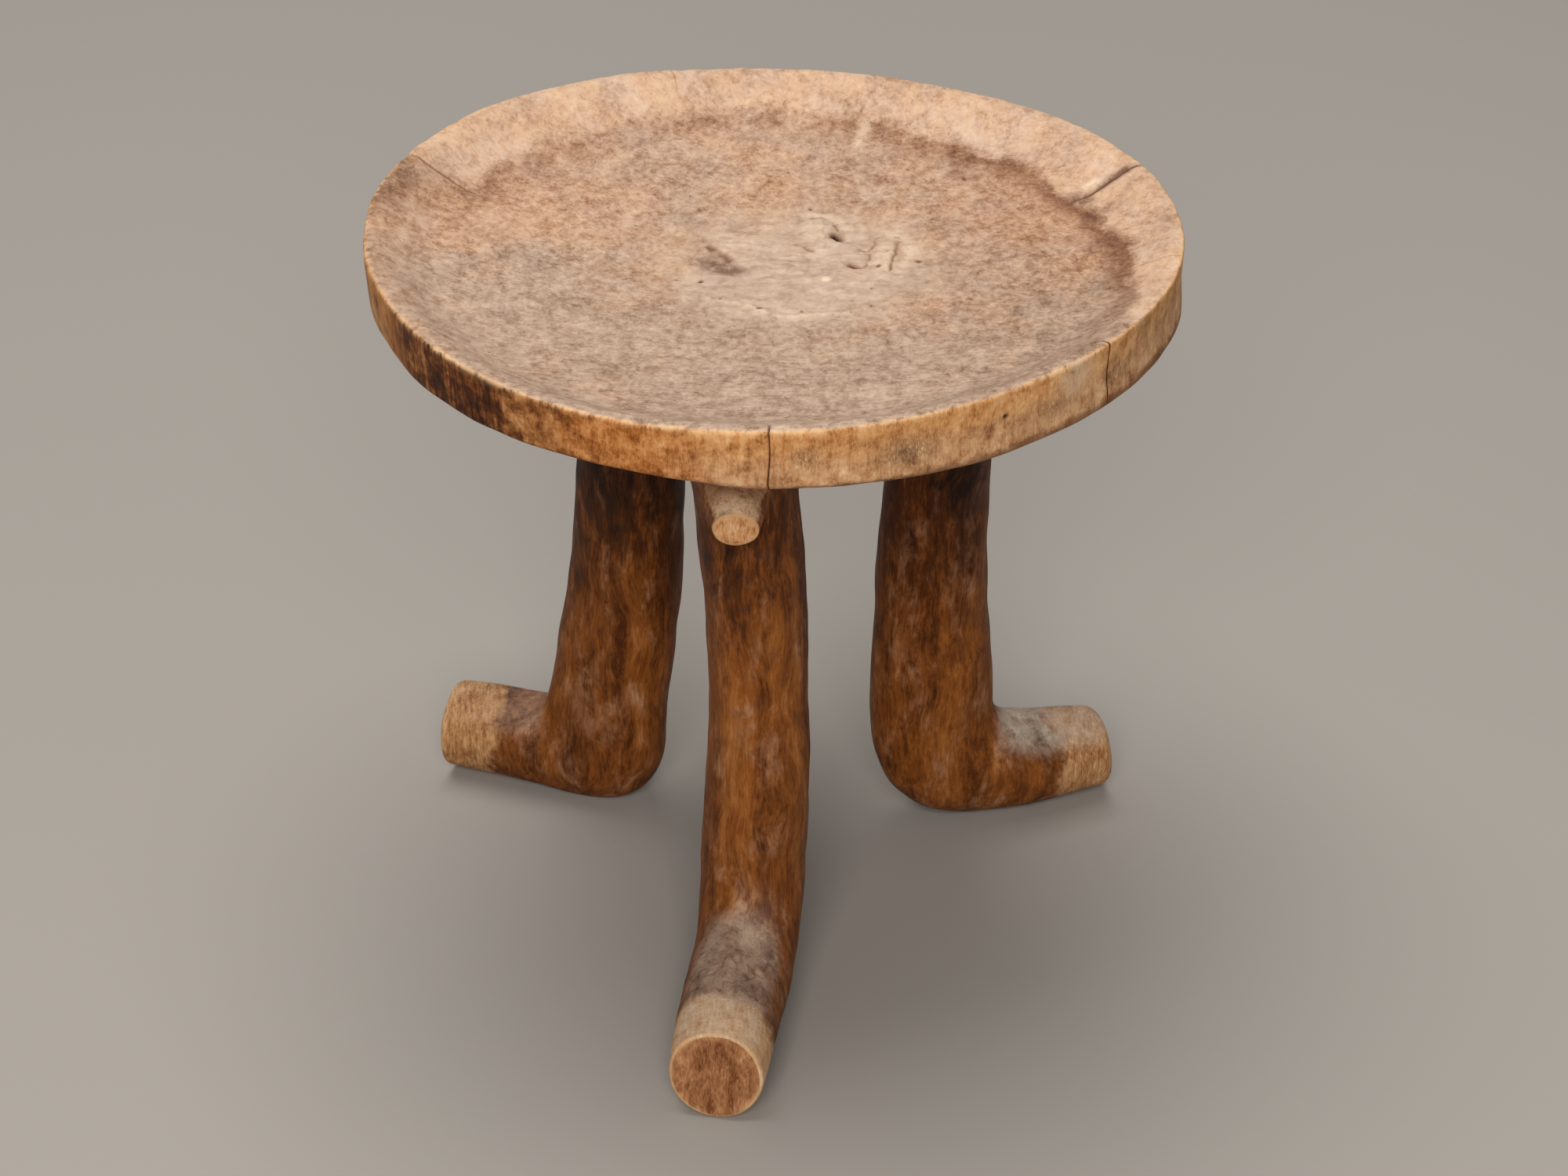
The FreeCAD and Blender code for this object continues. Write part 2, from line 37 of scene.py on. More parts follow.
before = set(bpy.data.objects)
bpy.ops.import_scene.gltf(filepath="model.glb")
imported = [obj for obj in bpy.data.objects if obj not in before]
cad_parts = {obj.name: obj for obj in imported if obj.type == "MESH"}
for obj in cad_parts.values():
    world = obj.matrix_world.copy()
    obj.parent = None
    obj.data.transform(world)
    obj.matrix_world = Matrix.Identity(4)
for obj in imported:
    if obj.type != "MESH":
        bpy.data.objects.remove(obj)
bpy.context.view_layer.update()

MM = 0.001
seat_low, seat_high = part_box("seat")
AXIS_X = (seat_low.x + seat_high.x) / 2 / MM
AXIS_Y = (seat_low.y + seat_high.y) / 2 / MM
SEAT_TOP = seat_high.z / MM
UNDERSIDE = seat_low.z / MM
SEAT_RADIUS = (seat_high.x - seat_low.x) / 2 / MM
RIM_WALL_HEIGHT = 28.0
RIM_FOOT = SEAT_TOP - RIM_WALL_HEIGHT


# Helpers for shapes

def ripple(points, size, seed, waves=16):
    """Smooth hand-made unevenness, mostly within -1 to 1, with bumps of about this size."""
    rng = np.random.default_rng(seed)
    total = np.zeros(points.shape[:-1])
    for _ in range(waves):
        direction = rng.normal(size=3)
        direction /= np.linalg.norm(direction)
        length = size * rng.uniform(0.7, 1.7)
        phase = rng.uniform(0, 2 * math.pi)
        total += np.sin(points @ direction * (2 * math.pi / length) + phase)
    return total / math.sqrt(2 * waves)


def smooth_step(value, low, high):
    share = np.clip((value - low) / (high - low), 0, 1)
    return share * share * (3 - 2 * share)


def bell(distance, width):
    return np.exp(-(distance / width) ** 2)


def between(first, last, share):
    return first + (last - first) * share


def soft_max(first, second, blend):
    return 0.5 * (first + second + np.sqrt((first - second) ** 2 + blend ** 2))


def soft_min(first, second, blend):
    return 0.5 * (first + second - np.sqrt((first - second) ** 2 + blend ** 2))


def quadratic(start, corner, end, count):
    """Points of a curve that rounds off a corner."""
    share = np.linspace(0, 1, count)[:, None]
    start, corner, end = (np.asarray(point, float) for point in (start, corner, end))
    return start * (1 - share) ** 2 + corner * 2 * share * (1 - share) + end * share ** 2


def smooth_line(points, count=8):
    """A bent line through these points, rounded at each of them."""
    points = np.asarray(points, float)
    ends = np.concatenate([[2 * points[0] - points[1]], points, [2 * points[-1] - points[-2]]])
    share = np.linspace(0, 1, count, endpoint=False)[:, None]
    pieces = []
    for before, start, end, after in zip(ends, ends[1:], ends[2:], ends[3:]):
        pieces.append(start + 0.5 * share * (end - before)
                      + share ** 2 * (before - 2.5 * start + 2 * end - 0.5 * after)
                      + share ** 3 * (1.5 * (start - end) + 0.5 * (after - before)))
    return np.concatenate(pieces + [points[-1:]])


def distance_to_line(x, y, line):
    """Distance of points in plan to a bent line, and how far along it the nearest place is, from 0 to 1."""
    line = np.asarray(line, float)
    lengths = np.linalg.norm(np.diff(line, axis=0), axis=1)
    starts = np.concatenate([[0], np.cumsum(lengths)])
    best = np.full(x.shape, np.inf)
    along = np.zeros(x.shape)
    for number, (first, second) in enumerate(zip(line[:-1], line[1:])):
        step = second - first
        share = np.clip(((x - first[0]) * step[0] + (y - first[1]) * step[1]) / (step @ step), 0, 1)
        distance = np.hypot(x - first[0] - share * step[0], y - first[1] - share * step[1])
        nearer = distance < best
        best = np.where(nearer, distance, best)
        along = np.where(nearer, (starts[number] + share * lengths[number]) / starts[-1], along)
    return best, along


def cut_end(last_ring, centre, outward, edge_round, angles, shares):
    """Rings that round off the edge of a cut end and then close its face."""
    rim = last_ring - centre
    reach = np.linalg.norm(rim, axis=1)[:, None]
    rings = []
    for angle in np.radians(angles):
        inset = edge_round * (1 - math.cos(angle))
        rings.append(centre + rim * (1 - inset / reach) + outward * edge_round * math.sin(angle))
    for share in shares:
        rings.append(centre + rim * (1 - edge_round / reach) * share + outward * edge_round)
    return rings


def cut_marks(rings, edge, edge_amounts):
    """Marks of a cut end: its face, and the rings round its edge, rubbed pale and painted with a highlight,
    from ring number edge on.
    """
    face = np.zeros(rings.shape[:2])
    face[edge + len(edge_amounts) - 1:] = 1
    wear_and_highlight = np.zeros(rings.shape[:2])
    wear_and_highlight[edge:edge + len(edge_amounts)] = np.array(edge_amounts)[:, None]
    return face, wear_and_highlight


def carved(rings, uneven, core, skin):
    """Rings pushed in and out from their own middles, not within the core and fully past the skin."""
    off = rings - rings.mean(axis=1, keepdims=True)
    length = np.maximum(np.linalg.norm(off, axis=-1, keepdims=True), 1.0)
    return rings + off / length * (uneven * smooth_step(length[..., 0], core, skin))[..., None]


def add_object(name, data):
    thing = bpy.data.objects.new(name, data)
    bpy.context.scene.collection.objects.link(thing)
    return thing


def add_piece(name, rings, marks, material):
    """A closed mesh over a row of rings, shut by one point in the middle of each end.

    marks holds named numbers for every point, for the material to read."""
    count, around = rings.shape[:2]
    points = np.concatenate([[rings[0].mean(axis=0)], rings.reshape(-1, 3), [rings[-1].mean(axis=0)]])
    points = (points + np.array([AXIS_X, AXIS_Y, 0])) * MM
    first = 1 + np.arange(count * around).reshape(count, around)
    after = np.roll(first, -1, axis=1)
    sides = np.stack([first[:-1], after[:-1], after[1:], first[1:]], axis=-1).reshape(-1, 4).tolist()
    start = [(0, b, a) for a, b in zip(first[0].tolist(), after[0].tolist())]
    end = [(len(points) - 1, a, b) for a, b in zip(first[-1].tolist(), after[-1].tolist())]
    mesh = bpy.data.meshes.new(name)
    mesh.from_pydata(points.tolist(), [], start + sides + end)
    mesh.update()
    for key, values in marks.items():
        ends = [values[0].mean(), values[-1].mean()]
        flat = np.concatenate([ends[:1], values.reshape(-1), ends[1:]]).astype(np.float32)
        mesh.attributes.new(key, "FLOAT", "POINT").data.foreach_set("value", flat)
    mesh.shade_smooth()
    mesh.materials.append(material)
    piece = add_object(name, mesh)
    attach(piece, "root")
    return piece


# Helpers for materials

def paint(red, green, blue):
    """A colour as it looks on a screen, 0 to 255, turned into the light it reflects."""
    def linear(value):
        value /= 255
        return value / 12.92 if value <= 0.04045 else ((value + 0.055) / 1.055) ** 2.4
    return (linear(red), linear(green), linear(blue), 1.0)


class Surface:
    """A wood material, built up from layers of noise in the frame of the solids, sized in millimetres."""

    def __init__(self, name):
        self.material = bpy.data.materials.new(name)
        self.material.use_nodes = True
        self.tree = self.material.node_tree
        self.shader = self.tree.nodes["Principled BSDF"]
        self.place = self.add("ShaderNodeTexCoord").outputs["Object"]
        split = self.add("ShaderNodeSeparateXYZ", self.scaled((1 / MM, 1 / MM, 1 / MM)))
        self.x = self.calc("SUBTRACT", split.outputs["X"], AXIS_X)
        self.y = self.calc("SUBTRACT", split.outputs["Y"], AXIS_Y)
        self.z = split.outputs["Z"]
        face = self.add("ShaderNodeNewGeometry").outputs["Normal"]
        self.facing_up = self.add("ShaderNodeSeparateXYZ", face).outputs["Z"]

    def add(self, kind, *inputs, **settings):
        node = self.tree.nodes.new(kind)
        for key, value in settings.items():
            setattr(node, key, value)
        for socket, value in zip(node.inputs, inputs):
            self.feed(socket, value)
        return node

    def feed(self, socket, value):
        if isinstance(value, bpy.types.NodeSocket):
            self.tree.links.new(value, socket)
        else:
            socket.default_value = value

    def scaled(self, factors, place=None):
        node = self.add("ShaderNodeVectorMath", place or self.place, factors, operation="MULTIPLY")
        return node.outputs[0]

    def calc(self, operation, first, second=0.0):
        return self.add("ShaderNodeMath", first, second, operation=operation).outputs[0]

    def times(self, product, *factors):
        for factor in factors:
            product = self.calc("MULTIPLY", product, factor)
        return product

    def mark(self, name):
        """The named numbers that a piece carries at its points."""
        return self.add("ShaderNodeAttribute", attribute_name=name).outputs["Fac"]

    def step(self, value, low, high):
        """0 below low, 1 above high, smooth between; low may be the larger one."""
        node = self.add("ShaderNodeMapRange", value, low, high, interpolation_type="SMOOTHSTEP")
        return node.outputs[0]

    def texture(self, sizes, detail, rough, place):
        factors = tuple(1 / MM / size for size in sizes)
        return self.add("ShaderNodeTexNoise", self.scaled(factors, place), 0.0, 1.0, detail, rough)

    def noise(self, sizes, detail=3.0, rough=0.55, place=None):
        """Noise from 0 to 1 whose grains measure about these millimetres along X, Y and Z."""
        return self.texture(sizes, detail, rough, place).outputs[0]

    def warped(self, sizes, amount):
        """The place, pushed about by up to this many millimetres."""
        shift = self.texture(sizes, 2.0, 0.5, None).outputs["Color"]
        middle = self.add("ShaderNodeVectorMath", shift, (0.5, 0.5, 0.5), operation="SUBTRACT").outputs[0]
        push = self.scaled((2 * amount * MM,) * 3, middle)
        return self.add("ShaderNodeVectorMath", self.place, push, operation="ADD").outputs[0]

    def turned(self, degrees, place):
        node = self.add("ShaderNodeVectorRotate", place, rotation_type="Z_AXIS")
        node.inputs["Angle"].default_value = math.radians(degrees)
        return node.outputs[0]

    def mix(self, share, first, second):
        """The first colour where the share is 0, the second where it is 1."""
        node = self.add("ShaderNodeMix", data_type="RGBA")
        for number, value in ((0, share), (6, first), (7, second)):
            self.feed(node.inputs[number], value)
        return node.outputs[2]

    def blend(self, share, first, second):
        """The same mix for plain numbers."""
        return self.calc("ADD", first, self.times(share, self.calc("SUBTRACT", second, first)))

    def distance(self, x, y):
        """How far the place is from an upright line through x, y."""
        off_x = self.calc("POWER", self.calc("SUBTRACT", self.x, x), 2.0)
        off_y = self.calc("POWER", self.calc("SUBTRACT", self.y, y), 2.0)
        return self.calc("SQRT", self.calc("ADD", off_x, off_y))

    def total(self, start, *parts):
        """A tone: the start plus each layer's swing about its middle, times its weight."""
        tone = start
        for weight, layer in parts:
            swing = self.times(self.calc("SUBTRACT", layer, 0.5), weight)
            tone = self.calc("ADD", tone, swing)
        return tone

    def less(self, tone, weight, layer):
        return self.calc("SUBTRACT", tone, self.times(layer, weight))

    def veins(self, sizes, thin, place, detail=3.0):
        """Thin wandering lines where a noise passes its middle: 1 on the line, 0 away from it."""
        off = self.calc("ABSOLUTE", self.calc("SUBTRACT", self.noise(sizes, detail, 0.6, place), 0.5))
        return self.step(off, thin, 0.0)

    def shades(self, tone, paints):
        """Turns a tone from 0 to 1 into paints set at even steps from dark to pale."""
        ramp = self.add("ShaderNodeValToRGB", tone)
        stops = ramp.color_ramp.elements
        for number in range(1, len(paints) - 1):
            stops.new(number / (len(paints) - 1))
        for stop, colour in zip(stops, paints):
            stop.color = paint(*colour)
        return ramp.outputs["Color"]

    def marked(self, colour, name, layer, low, high, over):
        """The colour, painted over at a mark of the piece as the layer goes from low to high."""
        share = self.times(self.mark(name), self.step(layer, low, high))
        return self.mix(share, colour, paint(*over))

    def bump(self, height, distance):
        node = self.add("ShaderNodeBump")
        self.feed(node.inputs["Height"], height)
        node.inputs["Distance"].default_value = distance * MM
        return node.outputs[0]

    def finish(self, colour, roughness, normal):
        self.feed(self.shader.inputs["Base Color"], colour)
        self.feed(self.shader.inputs["Roughness"], roughness)
        self.feed(self.shader.inputs["Normal"], normal)
        self.shader.inputs["Specular IOR Level"].default_value = 0.15
        return self.material


# Wood of the seat: heartwood in a cylinder a little off the axis, pale sapwood outside it

HEART_X = -10.0
HEART_Y = -21.0
HEART_RADIUS = 157.0
PALE_NICK = (-118.0, 80.0)
SMOOTH_MIDDLE = (14.0, 4.0)
SMOOTH_HALF = (62, 56)

# Paints of the top and the outer wall, each from dark to pale
PINK_HEART = ((110, 70, 50), (162, 117, 90), (196, 157, 130), (216, 183, 157), (236, 209, 184))
GREY_HEART = ((98, 72, 57), (148, 119, 98), (185, 157, 136), (208, 183, 162), (231, 210, 191))
OCHRE_HEART = ((106, 68, 44), (160, 117, 86), (198, 160, 129), (218, 186, 156), (236, 210, 184))
DARK_RING = ((80, 46, 29), (132, 89, 62), (168, 125, 96), (196, 157, 128), (222, 188, 160))
RIM_SAP = ((122, 88, 66), (167, 132, 108), (201, 167, 142), (217, 187, 163), (233, 210, 190))
WARM_RIM_SAP = ((126, 86, 58), (171, 132, 101), (205, 167, 136), (221, 187, 154), (235, 209, 181))
WALL_TAN = ((96, 54, 26), (154, 104, 64), (196, 145, 101), (218, 172, 128), (240, 204, 164))
WALL_AMBER = ((92, 44, 12), (160, 100, 48), (206, 143, 86), (226, 172, 116), (244, 206, 156))
WALL_ORANGE = ((74, 32, 8), (138, 78, 30), (190, 119, 60), (214, 150, 92), (232, 180, 128))
WALL_BARE = ((18, 7, 2), (44, 19, 7), (84, 43, 17), (138, 82, 40), (194, 138, 88))


def add_seat_layers(wood):
    """The layers that the parts of the seat share, kept with the wood."""
    wood.broad = wood.noise((70, 70, 70), 2.0)
    wood.waves = wood.noise((34, 34, 60), 3.0, 0.6)
    wood.patches = wood.noise((13, 19, 30), 6.0, 0.66)
    wood.tints = wood.noise((21, 27, 40), 5.0, 0.7)
    wood.mottle = wood.noise((3.6, 4.6, 12), 4.5, 0.66, wood.warped((14, 14, 14), 3))
    wood.speckle = wood.noise((1.2, 1.2, 3.0), 4.0, 0.75)
    wood.curled = wood.warped((10, 9, 20), 5)
    level = wood.noise((9.0, 1.3, 9), 3.0, 0.62, wood.warped((14, 14, 20), 2))
    crossed = wood.noise((3.4, 1.8, 9), 3.0, 0.6, wood.turned(30, wood.curled))
    wood.fibre = wood.blend(wood.step(wood.y, 0, -100), crossed, level)
    lines = wood.veins((12, 9, 20), 0.022, wood.warped((8, 8, 20), 5))
    wood.lines = wood.times(lines, wood.step(wood.patches, 0.62, 0.42))
    wood.wrinkles = wood.veins((4.4, 5.4, 20), 0.07, wood.warped((9, 9, 20), 6), 1.0)
    wood.upright = wood.noise((1.5, 1.5, 4.5), 4.0, 0.7, wood.curled)
    wood.thread = wood.noise((0.6, 0.6, 2), 3.0, 0.75)
    wood.blotch = wood.noise((9, 9, 7), 5.0, 0.68)
    wood.staves = wood.noise((2.2, 2.2, 30), 4.0, 0.6)
    off_x = wood.times(wood.calc("SUBTRACT", wood.x, SMOOTH_MIDDLE[0]), 1 / SMOOTH_HALF[0])
    off_y = wood.times(wood.calc("SUBTRACT", wood.y, SMOOTH_MIDDLE[1]), 1 / SMOOTH_HALF[1])
    far = wood.calc("ADD", wood.calc("POWER", off_x, 2.0), wood.calc("POWER", off_y, 2.0))
    wood.middle = wood.step(far, 1.3, 0.3)


def heart_tone(wood):
    """How pale the worn heartwood is, with softer fibres in the smooth middle of the dish."""
    tone = wood.total(0.45, (0.5, wood.patches), (0.9, wood.mottle), (0.45, wood.speckle),
                      (0.4, wood.fibre))
    tone = wood.less(wood.less(tone, 0.12, wood.lines), 0.05, wood.wrinkles)
    soft_fibre = wood.noise((16, 4.5, 9), 4.0, 0.65, wood.curled)
    soft = wood.total(0.6, (1.1, soft_fibre), (0.6, wood.patches), (0.4, wood.mottle))
    tone = wood.blend(wood.times(wood.middle, 0.75), tone, soft)
    return wood.less(tone, 0.06, wood.step(wood.x, 40, 110))


def seat_heart(wood, from_heart):
    """Worn heartwood in three tints, with a dark ring towards its edge."""
    tone = heart_tone(wood)
    ochre = wood.step(wood.tints, 0.62, 0.34)
    heart = wood.mix(ochre, wood.shades(tone, PINK_HEART), wood.shades(tone, OCHRE_HEART))
    greyer = wood.times(wood.step(wood.y, 60, -110), 0.3)
    greyer = wood.calc("ADD", greyer, wood.times(wood.middle, 0.25))
    greyer = wood.step(wood.total(greyer, (0.8, wood.broad), (0.6, wood.tints)), -0.12, 0.28)
    heart = wood.mix(greyer, heart, wood.shades(tone, GREY_HEART))

    ring_width = wood.blend(wood.step(wood.x, 40, 120), 30.0, 19.0)
    inside = wood.calc("SUBTRACT", HEART_RADIUS - 2, from_heart)
    ring = wood.step(wood.calc("DIVIDE", inside, ring_width), 1.0, 0.0)
    ring = wood.times(ring, wood.step(wood.y, -120, 20))
    faded = wood.total(wood.patches, (0.8, wood.tints), (0.25, wood.step(wood.x, 150, 0)))
    faded = wood.step(faded, 0.98, 0.42)
    ring = wood.times(ring, wood.total(0.5, (0.6, faded), (0.45, wood.step(wood.x, 20, 130))))
    return wood.mix(ring, heart, wood.shades(wood.less(tone, 0.13, ring), DARK_RING))


def seat_sap(wood):
    """Pale sapwood of the rim, browner at the far left."""
    tone = wood.total(0.49, (0.7, wood.waves), (0.75, wood.mottle), (0.35, wood.speckle),
                      (0.4, wood.fibre), (0.4, wood.patches))
    tone = wood.less(wood.less(tone, 0.12, wood.lines), 0.06, wood.wrinkles)
    browned = wood.times(wood.step(wood.x, -110, -165), wood.step(wood.y, 105, 55))
    tone = wood.less(tone, 0.28, browned)
    warm = wood.step(wood.tints, 0.4, 0.58)
    return wood.mix(warm, wood.shades(tone, RIM_SAP), wood.shades(tone, WARM_RIM_SAP))


def seat_top(wood):
    """Heartwood inside a ragged circle, which draws in at the pale nick, and sapwood past it."""
    swell = wood.noise((30, 30, 60), 1.5, 0.5)
    nicked = wood.step(wood.distance(*PALE_NICK), 85, 15)
    from_heart = wood.total(wood.distance(HEART_X, HEART_Y), (22, swell), (5, wood.mottle),
                            (3, wood.speckle), (11, nicked))
    past = wood.step(from_heart, HEART_RADIUS - 4, HEART_RADIUS + 4)
    return wood.mix(past, seat_heart(wood, from_heart), seat_sap(wood))


def seat_wall(wood):
    """The outer wall: orange tan with upright fibres, dark where heartwood comes out at the front left."""
    around = wood.total(wood.calc("ARCTAN2", wood.y, wood.x), (0.5, wood.waves), (0.35, wood.blotch))

    def sector(start, full, fading, end):
        """1 in a stretch of the wall, between directions in degrees, fading at both ends."""
        start, full, fading, end = (math.radians(direction) for direction in (start, full, fading, end))
        return wood.times(wood.step(around, start, full), wood.step(around, end, fading))

    tone = wood.total(0.54, (0.45, wood.upright), (0.7, wood.thread), (1.4, wood.blotch),
                      (0.7, wood.mottle), (0.4, wood.staves), (0.7, wood.waves))
    high = wood.total(wood.z, (34, wood.blotch), (10, wood.waves))
    high = wood.step(high, RIM_FOOT + 9, RIM_FOOT + 23)
    side = wood.mix(high, wood.shades(tone, WALL_TAN), wood.shades(tone, WALL_AMBER))
    side = wood.mix(sector(-170, -154, -110, -92), side, wood.shades(tone, WALL_ORANGE))
    bare_tone = wood.total(tone, (0.6, wood.staves), (-0.6, wood.thread))
    side = wood.mix(sector(-161, -145, -130, -112), side, wood.shades(bare_tone, WALL_BARE))
    low_edge = wood.step(wood.total(wood.z, (9, wood.blotch)), RIM_FOOT + 4.5, RIM_FOOT + 1)
    return wood.mix(wood.times(low_edge, 0.6), side, paint(98, 52, 22))


def seat_wear(wood, colour):
    """Worn edges with a painted highlight, stains, pale spots, grime with a painted shadow by the right
    split, and the dark of the splits, fine lines, pits and hole, with a painted shadow along the dent's
    upper edge.
    """
    # pale top edge of the rim: wear, and a painted highlight along the crest
    colour = wood.marked(colour, "wear_and_highlight", wood.mottle, 0.36, 0.6, (226, 184, 136))
    colour = wood.marked(colour, "stain", wood.thread, 0.68, 0.4, (94, 78, 62))
    pale = wood.times(wood.mark("pale"), wood.step(wood.mottle, 0.3, 0.52))
    pale = wood.calc("MAXIMUM", pale, wood.step(wood.mark("pale"), 0.8, 0.95))
    colour = wood.mix(pale, colour, paint(232, 206, 178))
    # grime, and a painted shadow along the edge of the right split
    colour = wood.marked(colour, "dirt_and_shadow", wood.mottle, 0.95, 0.32, (104, 70, 54))
    # dark of the splits, lines, pits and hole, and a painted shadow along the dent's upper edge
    crack_and_shadow = wood.mark("crack_and_shadow")
    colour = wood.mix(wood.times(wood.step(crack_and_shadow, 0.0, 0.6), 0.75), colour, paint(124, 82, 56))
    return wood.mix(wood.step(crack_and_shadow, 0.4, 1.0), colour, paint(36, 19, 10))


def seat_material():
    wood = Surface("worn_seat_wood")
    add_seat_layers(wood)
    wall = wood.mark("wall")
    colour = wood.mix(wall, seat_top(wood), seat_wall(wood))
    colour = seat_wear(wood, colour)
    top_relief = wood.total(0.5, (0.5, wood.fibre), (0.4, wood.mottle), (0.3, wood.speckle))
    side_relief = wood.total(0.5, (0.4, wood.upright), (0.4, wood.blotch), (0.3, wood.thread))
    relief = wood.blend(wall, top_relief, side_relief)
    roughness = wood.total(0.62, (0.25, wood.mottle))
    return wood.finish(colour, roughness, wood.bump(relief, 0.7))


# Wood of the legs: dark handled heartwood with upright grain, and pale sapwood at the toe

SHANK_DARK = ((34, 13, 2), (84, 41, 8), (138, 78, 28), (176, 112, 54), (208, 154, 102))
SHANK_DRY = ((84, 54, 36), (136, 97, 72), (168, 127, 100), (194, 157, 130), (220, 190, 166))
FOOT_DUST = ((108, 91, 79), (150, 131, 115), (183, 164, 146), (208, 192, 175), (227, 213, 198))
HEART_EDGE = ((34, 14, 6), (70, 41, 26), (104, 68, 48), (138, 99, 74), (170, 131, 104))
TOE_SAP = ((110, 64, 30), (156, 105, 61), (192, 143, 96), (212, 171, 128), (232, 200, 165))
TOE_CUT = ((62, 28, 10), (112, 64, 34), (160, 106, 68), (192, 138, 94), (222, 174, 128))


def add_leg_layers(wood):
    """The layers that the parts of a leg share, its tone, with painted shade towards the seat, and the dust
    on the foot, kept with the wood.
    """
    leaning = wood.warped((34, 34, 50), 9)
    bands = wood.noise((12, 12, 90), 4.0, 0.55, leaning)
    blots = wood.noise((24, 24, 60), 4.0, 0.62)
    wood.streaks = wood.noise((4.0, 4.0, 30), 5.0, 0.62, leaning)
    wood.lines = wood.noise((1.1, 1.1, 14), 4.0, 0.66, leaning)
    wood.thread = wood.noise((0.7, 0.7, 3), 3.0, 0.75)
    wood.clouds = wood.noise((6, 6, 11), 5.0, 0.66, leaning)
    wood.scuffs = wood.noise((11, 11, 38), 6.0, 0.66, wood.warped((26, 26, 40), 10))
    tone = wood.total(0.48, (0.7, bands), (0.5, wood.streaks), (0.5, wood.lines), (0.3, wood.thread),
                      (0.3, wood.scuffs), (0.5, wood.clouds))
    tone = wood.less(tone, 0.1, wood.step(blots, 0.54, 0.74))
    wood.tone = wood.less(tone, 1.0, wood.mark("shade"))
    low = wood.step(wood.total(wood.z, (70, wood.scuffs)), 112, 44)
    wood.dust = wood.times(wood.step(wood.facing_up, 0.35, 0.8), low, wood.step(wood.clouds, 0.14, 0.54),
                           wood.mark("dust"))
    wood.dusty = wood.shades(wood.tone, FOOT_DUST)


def leg_shank(wood):
    """Heartwood with dry patches, a dark knot, dust, bruises and pale streaks."""
    dry = wood.times(wood.step(wood.scuffs, 0.48, 0.68), wood.step(wood.clouds, 0.36, 0.62), 0.6)
    colour = wood.mix(dry, wood.shades(wood.tone, SHANK_DARK), wood.shades(wood.tone, SHANK_DRY))
    colour = wood.marked(colour, "knot", wood.streaks, 0.8, 0.45, (40, 26, 17))
    colour = wood.mix(wood.dust, colour, wood.dusty)
    colour = wood.marked(colour, "bruise", wood.clouds, 0.66, 0.42, (104, 72, 62))
    return wood.marked(colour, "streak", wood.lines, 0.34, 0.58, (190, 162, 138))


def leg_toe(wood, colour):
    """The uneven edge of the heartwood, then sapwood, then the cut end."""
    past = wood.total(wood.mark("toe"), (36, wood.noise((19, 19, 19), 5.0, 0.6)))
    swirl = wood.veins((13, 13, 13), 0.06, wood.warped((13, 13, 13), 8), 1.0)
    swirl = wood.times(swirl, wood.mark("swirls"))
    border = wood.times(wood.step(past, -12, -1), wood.step(wood.mark("swirls"), 0.0, 0.6))
    edge = wood.calc("MAXIMUM", swirl, wood.times(border, 0.45))
    edge = wood.times(edge, wood.step(past, -46, -18), 0.8)
    edge = wood.less(edge, 0.8, wood.times(edge, wood.dust))
    colour = wood.mix(edge, colour, wood.shades(wood.tone, HEART_EDGE))
    flecks = wood.noise((1.4, 8, 8), 4.0, 0.66)
    sap_tone = wood.total(0.52, (1.2, flecks), (0.6, wood.lines), (0.6, wood.thread), (0.8, wood.clouds))
    sap_tone = wood.less(sap_tone, 1.0, wood.mark("shade"))
    sap = wood.mix(wood.times(wood.dust, 0.6), wood.shades(sap_tone, TOE_SAP), wood.dusty)
    colour = wood.mix(wood.step(past, -3.5, 3.5), colour, sap)
    cut_tone = wood.total(0.5, (0.5, wood.streaks), (0.6, wood.lines), (0.9, wood.scuffs),
                          (0.9, wood.thread), (0.8, wood.clouds))
    colour = wood.mix(wood.mark("cut"), colour, wood.shades(cut_tone, TOE_CUT))
    # pale edge round the cut end: wear, and a painted highlight
    return wood.marked(colour, "wear_and_highlight", wood.lines, 0.3, 0.55, (216, 170, 122))


def leg_material():
    wood = Surface("handled_leg_wood")
    add_leg_layers(wood)
    colour = leg_toe(wood, leg_shank(wood))
    relief = wood.total(0.5, (0.5, wood.streaks), (0.5, wood.lines), (0.3, wood.thread))
    roughness = wood.total(0.55, (0.3, wood.scuffs), (0.15, wood.lines))
    return wood.finish(colour, roughness, wood.bump(relief, 0.6))


# Wood of the lug: pale on top and dark at its sides as painted light and shade, and behind this stretch
# along Y in painted shade of the rim

LUG_SHADED = (-120.0, -112.0)
LUG_LIT_PALE = ((136, 90, 58), (206, 160, 120), (242, 202, 160), (248, 218, 184), (252, 232, 206))
LUG_SHADED_DARK = ((34, 12, 4), (92, 46, 14), (140, 80, 34), (176, 116, 62), (206, 154, 102))
LUG_CUT = ((96, 46, 18), (158, 96, 52), (206, 147, 98), (226, 178, 130), (242, 206, 166))


